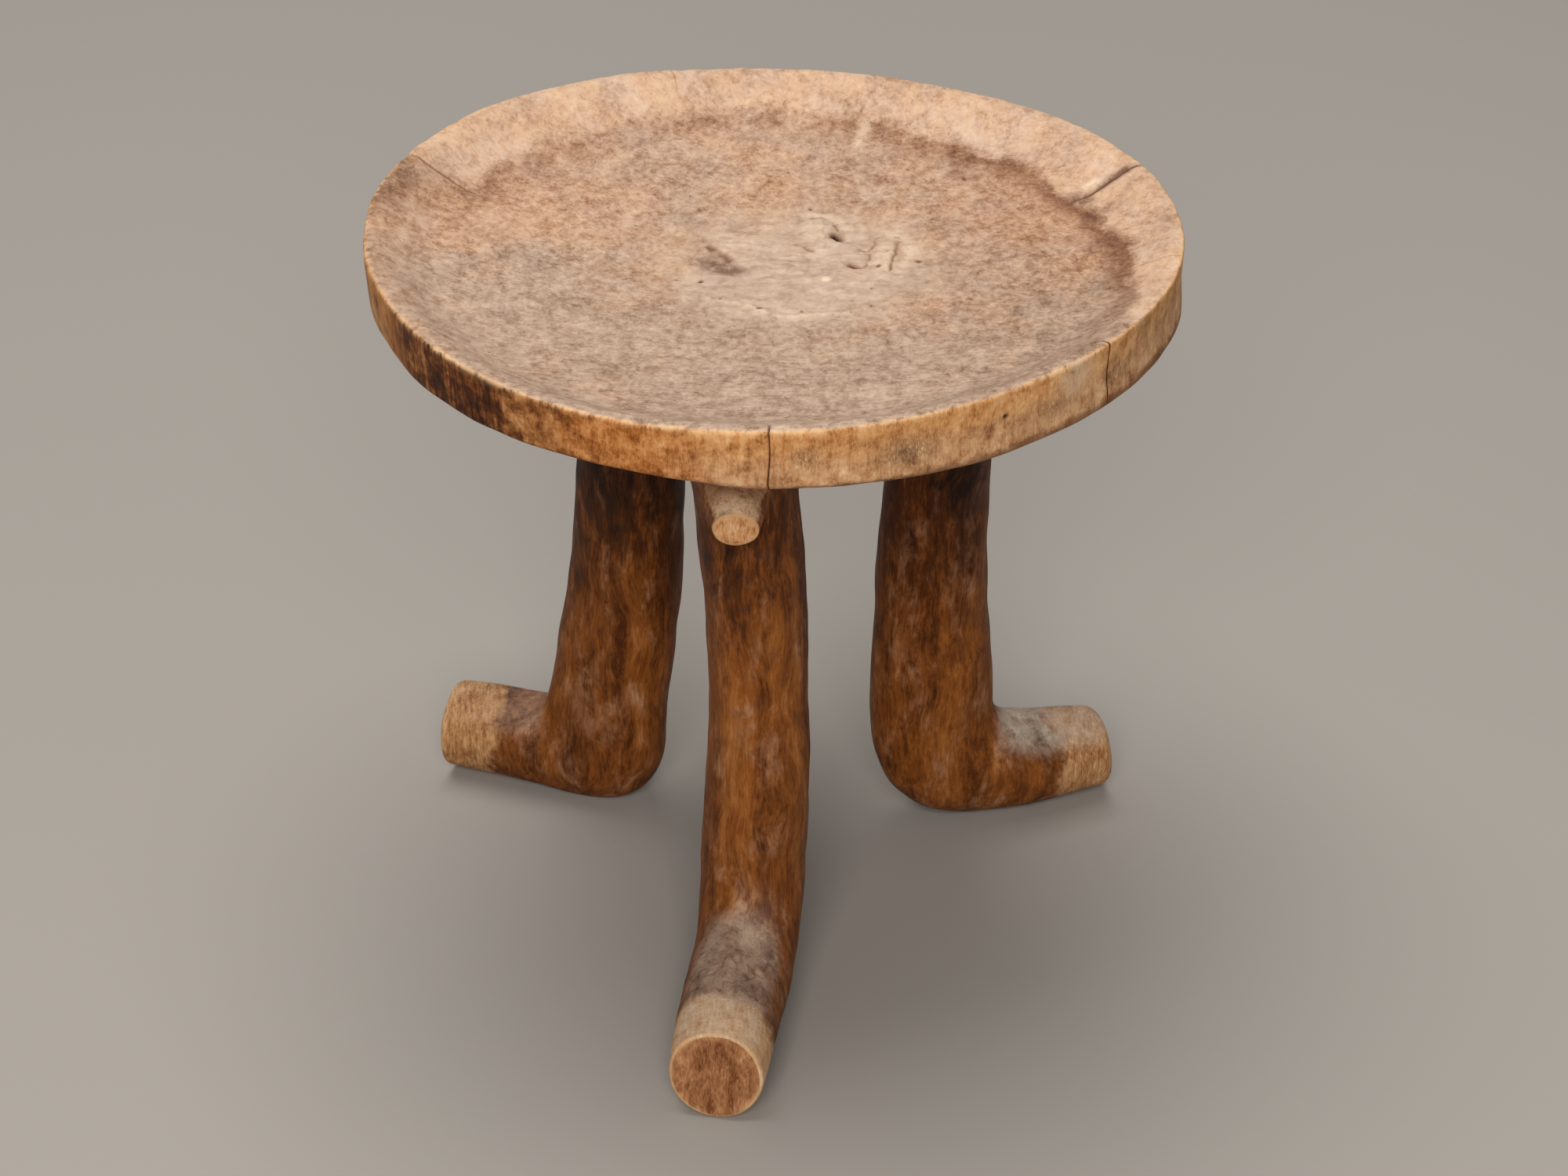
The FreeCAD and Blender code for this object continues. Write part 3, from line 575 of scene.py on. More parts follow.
def lug_material():
    wood = Surface("worn_lug_wood")
    streaks = wood.noise((2.6, 2.6, 22), 4.0, 0.62)
    lines = wood.noise((0.8, 0.8, 9), 4.0, 0.68)
    patches = wood.noise((9, 9, 9), 5.0, 0.66)
    tone = wood.total(0.5, (0.8, streaks), (1.4, lines), (1.1, patches))
    # pale top and dark sides follow which way the surface faces: painted light and shade
    flank = wood.step(wood.total(wood.facing_up, (0.5, patches)), 0.7, 0.34)
    # painted shade of the rim over the root of the lug
    root = wood.step(wood.total(wood.y, (7, patches)), *LUG_SHADED)
    shaded = wood.calc("MAXIMUM", flank, wood.times(root, 0.7))
    colour = wood.mix(shaded, wood.shades(tone, LUG_LIT_PALE), wood.shades(tone, LUG_SHADED_DARK))
    colour = wood.mix(wood.mark("cut"), colour, wood.shades(tone, LUG_CUT))
    blot = wood.step(wood.noise((7, 7, 7), 4.0, 0.6), 0.56, 0.66)
    blot = wood.times(blot, wood.step(wood.mark("cut"), 0.6, 0.1), 0.5)
    colour = wood.mix(blot, colour, paint(96, 58, 34))
    # pale edge round the lug's cut end: wear, and a painted highlight
    colour = wood.mix(wood.mark("wear_and_highlight"), colour, paint(226, 176, 122))
    relief = wood.total(0.5, (0.6, streaks), (0.6, lines))
    roughness = wood.total(0.56, (0.25, patches))
    return wood.finish(colour, roughness, wood.bump(relief, 0.5))


# The seat

DISH_SAG = 7.0
DISH_WALL_DROP = 12.0
CREST_RADIUS = SEAT_RADIUS - 5.5
CORNER_RADIUS = CREST_RADIUS - 21.0
RIM_WALL_TAPER = 1.5
UNDERSIDE_FLAT = 116.0
UNDERSIDE_BELLY = 0.25
EDGE_ROUND = 2.0
LOWER_ROUND = 2.5

# The rim isn't quite round: it swells by shares of its radius, in two and in three lobes, each with the
# direction of one lobe in radians
RIM_GROWTH = 0.001
TWO_LOBES = (0.0073, 0.162)
THREE_LOBES = (0.0224, -1.81)

# It isn't level: it falls towards +X, and its lower edge rises at the front left and drops and flares at
# the right
RIM_FALL = 0.011
RIM_LIFT = 0.5
LOW_EDGE_LIFT = 0.9
FRONT_LEFT = math.radians(-110)
FRONT_LEFT_SPAN = math.radians(30)
FRONT_LEFT_RISE = 4.2
RIGHT = math.radians(-20)
RIGHT_DROP = 1.9
RIGHT_FLARE = 1.8

# Kinds of marks. A spot's amount is its strength, rise or depth. A split runs down the whole outer wall, or
# with a start over the top from that radius on. Directions are in degrees round the seat.
Split = namedtuple("Split", "direction width depth dark start", defaults=(None,))
Line = namedtuple("Line", "path width depth strength")
Spot = namedtuple("Spot", "centre half amount slant", defaults=(0.0,))
WallSpot = namedtuple("WallSpot", "direction height half amount")

# Drying splits in the rim
SPLITS = (
    Split(-89.8, 0.28, 2.0, 0.9),
    Split(-35.5, 0.6, 0.45, 1.0),
    Split(155.2, 0.6, 1.3, 0.8, start=135.0),
    Split(22.6, 0.8, 1.4, 1.0, start=141.0),
    Split(105.5, 0.4, 0.5, 0.35, start=153.0),
    Split(-6.0, 0.4, 0.6, 0.6, start=146.0),
)

# Fine lines in the middle of the dish: round the two knots, the gaps beside them, and round the dent, whose
# upper edge is a painted shadow
MARKED_RADIUS = 75
ROUND_KNOT = ((16.9, 48), (22.9, 48.8), (26.9, 43.8), (29.5, 37.1), (30.2, 32.1))
ROUND_KNOT_LEFT = ((16.9, 48), (12.2, 44.5), (10.1, 37.5), (10.3, 31), (10.8, 26.3))
ROUND_KNOT_GRAIN = ((23.4, 45.4), (23.6, 33.8), (24.1, 20.6))
ROUND_KNOT_FOOT = ((10.8, 26.3), (13.1, 23.8), (16, 20.2), (21.1, 17.3))
OVAL_KNOT_FOOT = ((37.9, 4.3), (40.8, 5.6), (42.6, 12.4), (42.9, 16.5))
OVAL_KNOT_LEFT = ((41.8, 17.6), (44, 20.2), (45.7, 28), (48, 31.3))
OVAL_KNOT_RIGHT = ((55.7, 28), (54.4, 22.2), (53.7, 17.3), (52.5, 9.2), (50.6, 0.8), (48.9, -0.8))
# The dent's upper edge is a painted shadow, laid as a dark line
DENT_EDGE_SHADOW = ((-26.5, 24.7), (-22.4, 18.1), (-17.9, 14), (-15.3, 10.8))
DENT_LEFT = ((-33.2, 6.7), (-31.9, 14), (-29.4, 20.2), (-26.5, 24.7))
DISH_LINES = (
    Line(ROUND_KNOT, 1.0, 0.7, 0.5),
    Line(ROUND_KNOT_LEFT, 1.7, 0.4, 0.2),
    Line(ROUND_KNOT_GRAIN, 0.5, 0.4, 0.35),
    Line(ROUND_KNOT_FOOT, 1.3, 0.6, 0.45),
    Line(((26.9, 35.1), (28.3, 32.4), (31.6, 28)), 2.2, 3.2, 1.0),
    Line(((25.5, 29.6), (26.5, 32.9)), 1.0, 1.2, 0.8),
    Line(((25.5, 9.2), (29.9, 8.4), (33.5, 6.3)), 0.7, 0.4, 0.35),
    Line(((33.2, 6.5), (35.7, 5.6), (38, 3.8)), 1.7, 2.6, 1.0),
    Line(OVAL_KNOT_FOOT, 0.8, 0.6, 0.5),
    Line(OVAL_KNOT_LEFT, 0.7, 0.6, 0.5),
    Line(((38.1, 20.9), (38.5, 18.1), (41.6, 17.6)), 1.1, 0.8, 0.6),
    Line(OVAL_KNOT_RIGHT, 0.9, 1.0, 0.65),
    Line(((49.5, -15.6), (52.8, -14.5), (57.9, -13.6)), 0.7, 0.4, 0.3),
    Line(((4.2, 14), (10.1, 15.7), (14.5, 13.2), (18.2, 10.8)), 1.0, 0.4, 0.3),
    Line(((1.3, 10), (7.1, 11.1), (11.5, 9.2), (15.9, 9.2)), 0.9, 0.3, 0.25),
    Line(((17, 7.5), (15.1, -8.5), (11.4, -24.2)), 0.4, 0.25, 0.25),
    Line(((-56, 12), (-56, 7), (-51, -2), (-44.5, -5)), 0.8, 0.4, 0.25),
    Line(DENT_EDGE_SHADOW, 3.0, 0.7, 0.62),
    Line(DENT_LEFT, 1.1, 0.4, 0.3),
)

# A low ridge across the dish, and small pits: x, y and size
RIDGE = ((-30.5, -19.5), (-21, -25), (-10.1, -29.7), (-4.4, -33.6), (1.4, -39.8), (10, -40.5),
         (22.2, -38.2), (32.9, -37), (42.7, -32))
PITS = ((-28.1, -8.5, 1.5), (-3.6, -33.3, 1.2), (-38.7, -7.7, 0.7), (42.7, -32, 0.8), (13.9, -36.2, 0.8),
        (33.6, -37, 0.6), (-19.9, -24.2, 0.8), (17.3, 56.4, 1.1), (62.9, 7.5, 1.3), (46.6, 3.5, 1.1),
        (42.6, -16.4, 0.7), (-44, -33, 0.9))

# Pale places, grime and painted shadow on the top, and the swellings of the knots
PALE_LINES = (
    Line(RIDGE, 1.5, 0, 0.38),
    Line(((45, 137), (41, 122), (38, 110)), 1.8, 0, 0.6),
    Line(((47, 34), (56, 29), (59, 16), (56, 0)), 2.6, 0, 0.4),
    Line(((12, 50), (22, 51), (31, 44), (34, 34)), 2.6, 0, 0.35),
)
PALE_SPOTS = (
    Spot((23.9, -7.2), (2.2, 2.4), 1.0),
    Spot((138.5, 63.2), (5, 2.6), 0.95, slant=12.0),
    Spot((49, 14), (4.6, 13), 0.4, slant=-6.0),
    Spot((20, 34), (6.5, 12), 0.35),
)
KNOTS = (
    Spot((20, 33), (8, 13), 0.9),
    Spot((48.5, 13.5), (5.5, 14), 0.8),
    Spot((34, 15), (8, 9), 0.5),
)
DENT = Spot((-21.5, 8), (13.5, 8), 1.2, slant=-36.0)
# Grime in the dent and on the rim; the two spots along the split at the right paint the shadow of its edge
DIRT_AND_SHADOW_SPOTS = (
    Spot((-20.5, 6), (13, 6.5), 0.9, slant=-34.0),
    Spot((133.5, 53.5), (6, 6), 1.0),
    Spot((149, 62), (11, 2.8), 1.0, slant=24.0),
    Spot((138, 37), (4.5, 8), 0.55, slant=15.0),
    Spot((-128, 55), (9, 4), 0.4, slant=-25.0),
    Spot((145, 19), (4, 9), 0.5, slant=8.0),
)

# Spots on the outer wall, with half sizes along the wall and up it
WALL_STAINS = (
    WallSpot(-71, 304.5, (11, 6.5), 0.75),
    WallSpot(-85, 308, (5, 5), 0.6),
    WallSpot(-46, 304, (14, 4), 0.4),
    WallSpot(-43, 315, (4, 3.5), 0.7),
    WallSpot(-33, 303, (8, 6), 0.4),
    WallSpot(-26, 314, (5, 6), 0.6),
)
WALL_PALE = WallSpot(-43, 313, (11, 8), 0.45)
WALL_HOLE = WallSpot(-56, 308, (1.4, 1.4), 0.9)


def seat_profile():
    """The half section from the middle of the dish over the rim to the middle of the underside."""
    # closest together in the marked middle of the dish and at the crest
    radii = np.concatenate([
        np.linspace(1.5, 10, 8), np.arange(10.6, 60, 0.62), np.arange(60.6, 132, 2.6),
        np.arange(132, CREST_RADIUS - 3, 1.6), np.arange(CREST_RADIUS - 3, SEAT_RADIUS - EDGE_ROUND, 0.8)])
    corner_z = SEAT_TOP - DISH_WALL_DROP
    dish = corner_z - DISH_SAG + DISH_SAG * (radii / CORNER_RADIUS) ** 2
    slope = DISH_WALL_DROP / (CREST_RADIUS - CORNER_RADIUS)
    flank = corner_z + (radii - CORNER_RADIUS) * slope
    top = soft_min(soft_max(dish, flank, 3.0), SEAT_TOP, 1.2)
    parts = [np.column_stack([radii, top])]

    parts.append(quadratic((SEAT_RADIUS - EDGE_ROUND, top[-1]), (SEAT_RADIUS, SEAT_TOP),
                           (SEAT_RADIUS, SEAT_TOP - EDGE_ROUND), 7)[1:])
    share = np.linspace(0, 1, 16)[1:-1]
    wall_r = SEAT_RADIUS - RIM_WALL_TAPER * share
    wall_z = SEAT_TOP - EDGE_ROUND - (RIM_WALL_HEIGHT - EDGE_ROUND - LOWER_ROUND) * share
    parts.append(np.column_stack([wall_r, wall_z]))

    foot_radius = SEAT_RADIUS - RIM_WALL_TAPER
    under_r = np.linspace(foot_radius, UNDERSIDE_FLAT, 22)
    above = np.linspace(1, 0, 22)
    under_z = UNDERSIDE + (RIM_FOOT - UNDERSIDE) * above * (1 - UNDERSIDE_BELLY * (1 - above))
    parts.append(quadratic((foot_radius, RIM_FOOT + LOWER_ROUND), (foot_radius, RIM_FOOT),
                           (under_r[2], under_z[2]), 7))
    parts.append(np.column_stack([under_r[3:], under_z[3:]]))
    flat = np.linspace(UNDERSIDE_FLAT, 4, 18)[1:]
    parts.append(np.column_stack([flat, np.full(len(flat), UNDERSIDE)]))
    return np.concatenate(parts)


def seat_directions():
    """Directions round the seat, closer together beside each split and the hole in the wall."""
    even = np.linspace(-180, 180, 420, endpoint=False)
    beside = np.array([-1.6, -0.9, -0.5, -0.25, -0.08, 0.08, 0.25, 0.5, 0.9, 1.6])
    extra = [split.direction + np.degrees(beside / SEAT_RADIUS) for split in SPLITS]
    by_hole = np.array([-1.8, -1.0, -0.35, 0.35, 1.0, 1.8])
    extra.append(WALL_HOLE.direction + np.degrees(by_hole / SEAT_RADIUS))
    for mark in SPLITS + (WALL_HOLE,):
        even = even[np.abs(even - mark.direction) > 0.75]
    return np.radians(np.sort(np.concatenate([even] + extra)))


class SeatSkin:
    """The seat's points, ring by ring from the middle of the dish over the rim to that of the underside.

    push moves a point out, square to the profile. past_edge is a ring's way past the rim's top edge."""

    def __init__(self):
        profile = seat_profile()
        turn = seat_directions()
        around = np.ones(len(turn))
        self.theta = np.ones(len(profile))[:, None] * turn
        self.radius = profile[:, :1] * around
        self.height = profile[:, 1:] * around
        tangent = np.gradient(profile, axis=0)
        tangent /= np.linalg.norm(tangent, axis=1)[:, None]
        self.out = -tangent[:, 1:] * around
        self.up = tangent[:, :1] * around
        length = np.concatenate([[0], np.cumsum(np.linalg.norm(np.diff(profile, axis=0), axis=1))])
        edge = np.argmax(profile[:, 0] > SEAT_RADIUS - 0.3 * EDGE_ROUND)
        self.past_edge = (length - length[edge])[:, None] * around
        self.on_top = smooth_step(self.past_edge, 0.5, -0.5)
        self.push = np.zeros_like(self.theta)
        names = ("crack_and_shadow", "stain", "dirt_and_shadow", "pale", "wear_and_highlight")
        self.marks = {name: np.zeros_like(self.theta) for name in names}
        self.marks["wall"] = smooth_step(self.past_edge, -0.6, 0.3)

    def place(self):
        self.x = self.radius * np.cos(self.theta)
        self.y = self.radius * np.sin(self.theta)
        self.points = np.stack([self.x, self.y, self.height], axis=-1)

    def mark(self, name, amount):
        self.marks[name] = np.maximum(self.marks[name], np.clip(amount, 0, 1))

    def oval(self, spot):
        """1 in an oval spot on the top, 0 well outside it."""
        slant = math.radians(spot.slant)
        off_x = self.x - spot.centre[0]
        off_y = self.y - spot.centre[1]
        along = off_x * math.cos(slant) + off_y * math.sin(slant)
        across = off_y * math.cos(slant) - off_x * math.sin(slant)
        far = (along / spot.half[0]) ** 2 + (across / spot.half[1]) ** 2
        return self.on_top * np.exp(-far ** 2)

    def wall_oval(self, spot):
        """Square of the distance from the middle of a spot on the outer wall, 1 at its edge."""
        aside = (self.theta - math.radians(spot.direction)) * SEAT_RADIUS
        far = (aside / spot.half[0]) ** 2 + ((self.height - spot.height) / spot.half[1]) ** 2
        return np.where(self.past_edge > -0.5, far, 100.0)

    def rings(self):
        return np.stack([self.x + self.out * np.cos(self.theta) * self.push,
                         self.y + self.out * np.sin(self.theta) * self.push,
                         self.height + self.up * self.push], axis=-1)


def shape_outline(skin):
    """The uneven outline, the tilt of the rim, its changing height and the hand-carved surface."""
    theta = skin.theta
    share = (skin.radius / SEAT_RADIUS) ** 2
    lobes = RIM_GROWTH
    for count, (size, turn) in ((2, TWO_LOBES), (3, THREE_LOBES)):
        lobes = lobes + size * np.cos(count * (theta - turn))
    skin.radius = skin.radius * (1 + lobes * share)
    rim = smooth_step(skin.height, UNDERSIDE, RIM_FOOT) * share
    skin.height = skin.height - rim * (RIM_FALL * skin.radius * np.cos(theta) - RIM_LIFT)

    spread = np.where(skin.height > RIM_FOOT, 9, 20)
    low_edge = bell(skin.height - RIM_FOOT, spread) * smooth_step(skin.past_edge, 4, 8)
    low_edge = low_edge * smooth_step(skin.radius, UNDERSIDE_FLAT, SEAT_RADIUS - 15)
    front_left = bell(theta - FRONT_LEFT, FRONT_LEFT_SPAN)
    to_right = np.cos(theta - RIGHT)
    lift = FRONT_LEFT_RISE * front_left + LOW_EDGE_LIFT - RIGHT_DROP * to_right
    skin.height = skin.height + low_edge * lift
    skin.radius = skin.radius + low_edge * RIGHT_FLARE * np.clip(to_right, 0, 1)
    skin.place()
    uneven = 0.45 * ripple(skin.points, 60, 11) + 0.2 * ripple(skin.points, 17, 12)
    skin.push += uneven * np.where(skin.height < UNDERSIDE + 2, 0.15, 1.0)


def open_splits(skin):
    """Grooves with a dark bottom that wander a little from side to side."""
    down = np.clip((SEAT_TOP - skin.height) / RIM_WALL_HEIGHT, 0, 1.2)
    for number, split in enumerate(SPLITS):
        aside = (skin.theta - math.radians(split.direction)) * skin.radius
        if split.start:
            on_top = smooth_step(skin.radius, split.start, split.start + 6)
            on_wall = smooth_step(down, 0.3, 0.05)
        else:
            on_top = smooth_step(skin.radius, 158, 166)
            on_wall = smooth_step(down, 1.15, 0.95)
        reach = skin.on_top * on_top + (1 - skin.on_top) * on_wall
        skin.push -= split.depth * bell(aside, split.width) * reach
        skin.mark("crack_and_shadow", split.dark * bell(aside, 0.8 * split.width) * reach)
        wander = 0.45 * np.sin(down * 5 + number) + 0.25 * np.sin(skin.radius * 0.35 + number)
        shift = wander * bell(aside, 6) * reach
        skin.x = skin.x - np.sin(skin.theta) * shift
        skin.y = skin.y + np.cos(skin.theta) * shift


def carve_middle(skin):
    """The fine lines, the ridge and the pits in the middle of the dish."""
    near = (skin.radius < MARKED_RADIUS) & (skin.on_top > 0.5)
    x, y = skin.x[near], skin.y[near]
    push, crack_and_shadow = np.zeros_like(x), np.zeros_like(x)
    broken = 0.65 + 0.55 * ripple(skin.points[near], 6, 31)
    shaken_x = x + 0.6 * ripple(skin.points[near], 5, 33)
    shaken_y = y + 0.6 * ripple(skin.points[near], 5, 34)
    for line in DISH_LINES:
        distance, along = distance_to_line(shaken_x, shaken_y, smooth_line(line.path))
        whole = np.clip(broken + line.strength ** 2, 0.2, 1)
        whole = whole * smooth_step(np.minimum(along, 1 - along), -0.04, 0.1)
        push -= line.depth * bell(distance, line.width) * whole
        crack_and_shadow = np.maximum(crack_and_shadow, line.strength * bell(distance, 0.8 * line.width) * whole)
    distance, along = distance_to_line(x, y, smooth_line(RIDGE))
    ends = np.sin(np.pi * np.clip(along, 0.02, 0.98))
    push += ends * (0.5 * bell(distance, 1.5) - 0.35 * bell(distance - 3.5, 2))
    for pit_x, pit_y, size in PITS:
        pit = np.exp(-((shaken_x - pit_x) ** 2 + (shaken_y - pit_y) ** 2) / size ** 2)
        push -= 0.4 * size * pit
        crack_and_shadow = np.maximum(crack_and_shadow, 0.85 * pit)
    skin.push[near] += push
    skin.marks["crack_and_shadow"][near] = np.maximum(skin.marks["crack_and_shadow"][near], crack_and_shadow)


def mark_top(skin):
    """Pale places, grime and painted shadow on the top, the swellings of the knots and the dent."""
    for line in PALE_LINES:
        distance, along = distance_to_line(skin.x, skin.y, smooth_line(line.path))
        ends = smooth_step(np.minimum(along, 1 - along), -0.02, 0.15)
        skin.mark("pale", skin.on_top * line.strength * bell(distance, line.width) * ends)
    for spot in PALE_SPOTS:
        skin.mark("pale", spot.amount * skin.oval(spot))
    for knot in KNOTS:
        skin.push += knot.amount * skin.oval(knot)
    skin.push -= DENT.amount * skin.oval(DENT)
    skin.mark("dirt_and_shadow", 0.5 * skin.oval(DENT))
    for spot in DIRT_AND_SHADOW_SPOTS:
        skin.mark("dirt_and_shadow", spot.amount * skin.oval(spot))


def wear_rim(skin):
    """Worn and chipped edges, with a painted highlight along the top edge, and the stains and the hole on
    the outer wall.
    """
    along = ripple(skin.points, 26, 21)
    chips = np.clip(ripple(skin.points, 9, 22), 0, 1)
    top_edge = bell(skin.past_edge, 1.3)
    skin.push -= 0.5 * top_edge * chips
    # the pale band along the top edge is wear and a painted highlight
    skin.mark("wear_and_highlight", top_edge * (0.65 + 0.3 * along))
    for spot in WALL_STAINS:
        skin.mark("stain", spot.amount * np.exp(-skin.wall_oval(spot)))
    skin.mark("pale", WALL_PALE.amount * np.exp(-skin.wall_oval(WALL_PALE) ** 2))
    hole = np.exp(-skin.wall_oval(WALL_HOLE) ** 2)
    skin.push -= WALL_HOLE.amount * hole
    skin.mark("crack_and_shadow", hole)


def make_seat():
    skin = SeatSkin()
    shape_outline(skin)
    open_splits(skin)
    carve_middle(skin)
    mark_top(skin)
    wear_rim(skin)
    rings = skin.rings()[:, ::-1]
    marks = {name: values[:, ::-1] for name, values in skin.marks.items()}
    piece = add_piece("dished_seat", rings, marks, seat_material())
    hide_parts("seat")


# The legs. The frame of a leg: origin on the floor under the ankle, +X along the foot, +Z up the shank.
# Pairs of sizes are half depth and half width; toe_pitch and direction are in degrees.

SOLE_WEAR = 1.9
LEG_FLARE = 6.0
LEG_FLARE_HEIGHT = 17.0
SHARP_TOE = 1.6
TOE_EDGE_ANGLES = (15, 30, 45, 60, 75, 90)
TOE_WEAR_AND_HIGHLIGHT = (0.35, 0.6, 0.75, 0.8, 0.8, 0.65, 0.45)
AROUND_LEG = 128
SHANK_SECTIONS = 130
HEEL_SECTIONS = 64
FOOT_SECTIONS = 36

# Marks on the left shank and the front foot, placed in the seat's own frame
LEFT_KNOT = (
    Spot((-70.5, 36, 168), (3, 9, 9), 0.9),
    Spot((-66, 36, 158), (4, 9, 5), 0.9),
    Spot((-64.5, 36, 149), (2, 9, 6), 0.7),
    Spot((-62, 36, 171), (1.6, 9, 12), 0.6),
)
FOOT_BRUISES = (
    Spot((-3, -112, 48), (7, 12, 14), 0.8),
    Spot((2, -131, 44), (5, 9, 12), 0.8),
    Spot((1, -152, 42), (6, 8, 12), 0.7),
)
FOOT_STREAK = (
    Spot((-14.5, -97, 50), (2.5, 10, 20), 0.5),
    Spot((-12, -112, 46), (3, 10, 20), 0.6),
    Spot((-8, -128, 44), (3.5, 10, 20), 0.7),
)
# shade is painted shade over the heights in shaded, darkest towards the seat; dim and toe_shade are tone
LEGS = {
    "left_leg": SimpleNamespace(
        place=(-75.7, 57.3), direction=158.5, lean=(-14.6, 0.1), bow=(-6.0, -1.6),
        top=(23.0, 21.5), ankle=(29.1, 21.8), instep_round=8.5, instep_height=41.5,
        instep_width=20.7, heel=0.15, foot_length=76.6, toe_pitch=-0.7, toe=(20.5, 19.1),
        toe_lift=0.4, toe_swing=4.4, toe_round=SHARP_TOE, sapwood=25.0, dust=0.3, swirls=0.3,
        dim=0.08, shade=0.32, shaded=(95, 190), toe_shade=0.06, knot=LEFT_KNOT, seed=40,
    ),
    "right_leg": SimpleNamespace(
        place=(73.9, 39.4), direction=15.4, lean=(5.4, -3.8), bow=(-2.9, 0.8),
        top=(21.8, 21.4), ankle=(28.9, 21.7), instep_round=16.0, instep_height=46.0,
        instep_width=21.5, heel=0.09, foot_length=85.7, toe_pitch=5.8, toe=(19.7, 19.0),
        toe_lift=1.0, toe_swing=1.0, toe_round=7.0, sapwood=19.5, dust=1.0, swirls=0.2,
        dim=0.06, shade=0.26, shaded=(85, 190), toe_shade=0.03, seed=50,
    ),
    "front_leg": SimpleNamespace(
        place=(-6.7, -85.9), direction=260.4, lean=(-7.1, -7.5), bow=(0.1, 5.5),
        top=(23.8, 20.3), ankle=(27.5, 22.5), instep_round=20.0, instep_height=44.8,
        instep_width=22.6, heel=0.06, foot_length=100.5, toe_pitch=7.1, toe=(20.1, 19.3),
        toe_lift=0.8, toe_swing=1.4, toe_round=SHARP_TOE, sapwood=24.0, dust=0.65, swirls=1.0,
        dim=0.0, shade=0.2, shaded=(150, 250), toe_shade=-0.16,
        bruise=FOOT_BRUISES, streak=FOOT_STREAK, seed=60,
    ),
}


def leg_sections(leg):
    """Ovals down the shank, round the heel and along the foot: centre, tilt, half depth and half width."""
    top_depth, top_width = leg.top
    ankle_depth, ankle_width = leg.ankle
    toe_depth, toe_width = leg.toe
    corner = leg.instep_round
    pivot_x = ankle_depth + corner
    pivot_z = leg.instep_height + corner
    foot_depth = (leg.instep_height + SOLE_WEAR) / 2
    sections = []

    for share in np.linspace(0, 1, SHANK_SECTIONS)[:-1]:
        above = 1 - share
        bow = 4 * share * above
        x = leg.lean[0] * above + leg.bow[0] * bow
        y = leg.lean[1] * above + leg.bow[1] * bow
        z = UNDERSIDE * above + pivot_z * share
        flare = LEG_FLARE * math.exp((z - UNDERSIDE) / LEG_FLARE_HEIGHT)
        depth = between(top_depth, ankle_depth, share ** 1.5) + flare
        width = between(top_width, ankle_width, share) + flare
        sections.append((x, y, z, 0.0, depth, width))

    upright, level = ankle_depth, foot_depth
    for tilt in np.radians(np.linspace(0, 90, HEEL_SECTIONS))[:-1]:
        reach = (corner + 2 * upright) * math.cos(tilt) ** 2 + (corner + 2 * level) * math.sin(tilt) ** 2
        reach *= 1 + leg.heel * math.sin(2 * tilt) ** 2
        middle = (corner + reach) / 2
        x = pivot_x - middle * math.cos(tilt)
        z = pivot_z - middle * math.sin(tilt)
        width = between(ankle_width, leg.instep_width, tilt / math.radians(90))
        sections.append((x, 0.0, z, tilt, (reach - corner) / 2, width))

    pitch = math.radians(leg.toe_pitch)
    toe_z = toe_depth * math.cos(pitch) + leg.toe_lift
    for share in np.linspace(0, 1, FOOT_SECTIONS):
        x = pivot_x + (leg.foot_length - leg.toe_round - pivot_x) * share
        y = leg.toe_swing * share ** 2
        z = (leg.instep_height - foot_depth) * (1 - share) + toe_z * share
        depth = between(foot_depth, toe_depth, share)
        width = between(leg.instep_width, toe_width, share)
        sections.append((x, y, z, math.radians(90) + pitch * share, depth, width))
    return np.array(sections)


def leg_rings(leg):
    """A leg's rings in its own frame, the face of its toe and the rubbed pale edge with a painted highlight
    round it, and each point's way past the cut.
    """
    sections = leg_sections(leg)
    x, y, z, tilt, depth, width = (sections[:, number, None] for number in range(6))
    turn = np.linspace(0, 2 * math.pi, AROUND_LEG, endpoint=False)[None]
    across = np.cos(turn) * depth
    side = np.sin(turn) * width
    rings = np.stack([x + across * np.cos(tilt), y + side, z + across * np.sin(tilt)], axis=-1)

    edge = len(rings) - 1
    centre = sections[-1, :3]
    outward = np.array([math.sin(sections[-1, 3]), 0, -math.cos(sections[-1, 3])])
    toe = cut_end(rings[-1], centre, outward, leg.toe_round, TOE_EDGE_ANGLES, np.linspace(0.9, 0.04, 16))
    rings = np.concatenate([rings, np.array(toe)])
    face, wear_and_highlight = cut_marks(rings, edge, TOE_WEAR_AND_HIGHLIGHT)

    seed = leg.seed
    uneven = 0.8 * ripple(rings, 62, seed) + 0.35 * ripple(rings, 22, seed + 1)
    rings = carved(rings, uneven, 6, 16)
    rings = rings + outward * (face * 0.35 * ripple(rings, 12, seed + 2))[..., None]

    # the flat sole, worn where the leg stands, and the flat top under the seat
    rings[..., 2] = soft_max(rings[..., 2], 0, 0.9) - 0.2
    rings[..., 2] = np.maximum(rings[..., 2], 0)
    rings[0, :, 2] = UNDERSIDE
    wear_and_highlight *= SHARP_TOE / leg.toe_round
    wear_and_highlight *= np.clip(0.6 + 0.7 * ripple(rings, 9, seed + 3), 0, 1)
    return rings, face, wear_and_highlight, (rings - centre) @ outward


def placed(points, leg):
    """Points in the frame of a leg, moved to the seat's own frame."""
    spin = math.radians(leg.direction)
    x, y, z = (points[..., number] for number in range(3))
    return np.stack([x * math.cos(spin) - y * math.sin(spin) + leg.place[0],
                     x * math.sin(spin) + y * math.cos(spin) + leg.place[1], z], axis=-1)


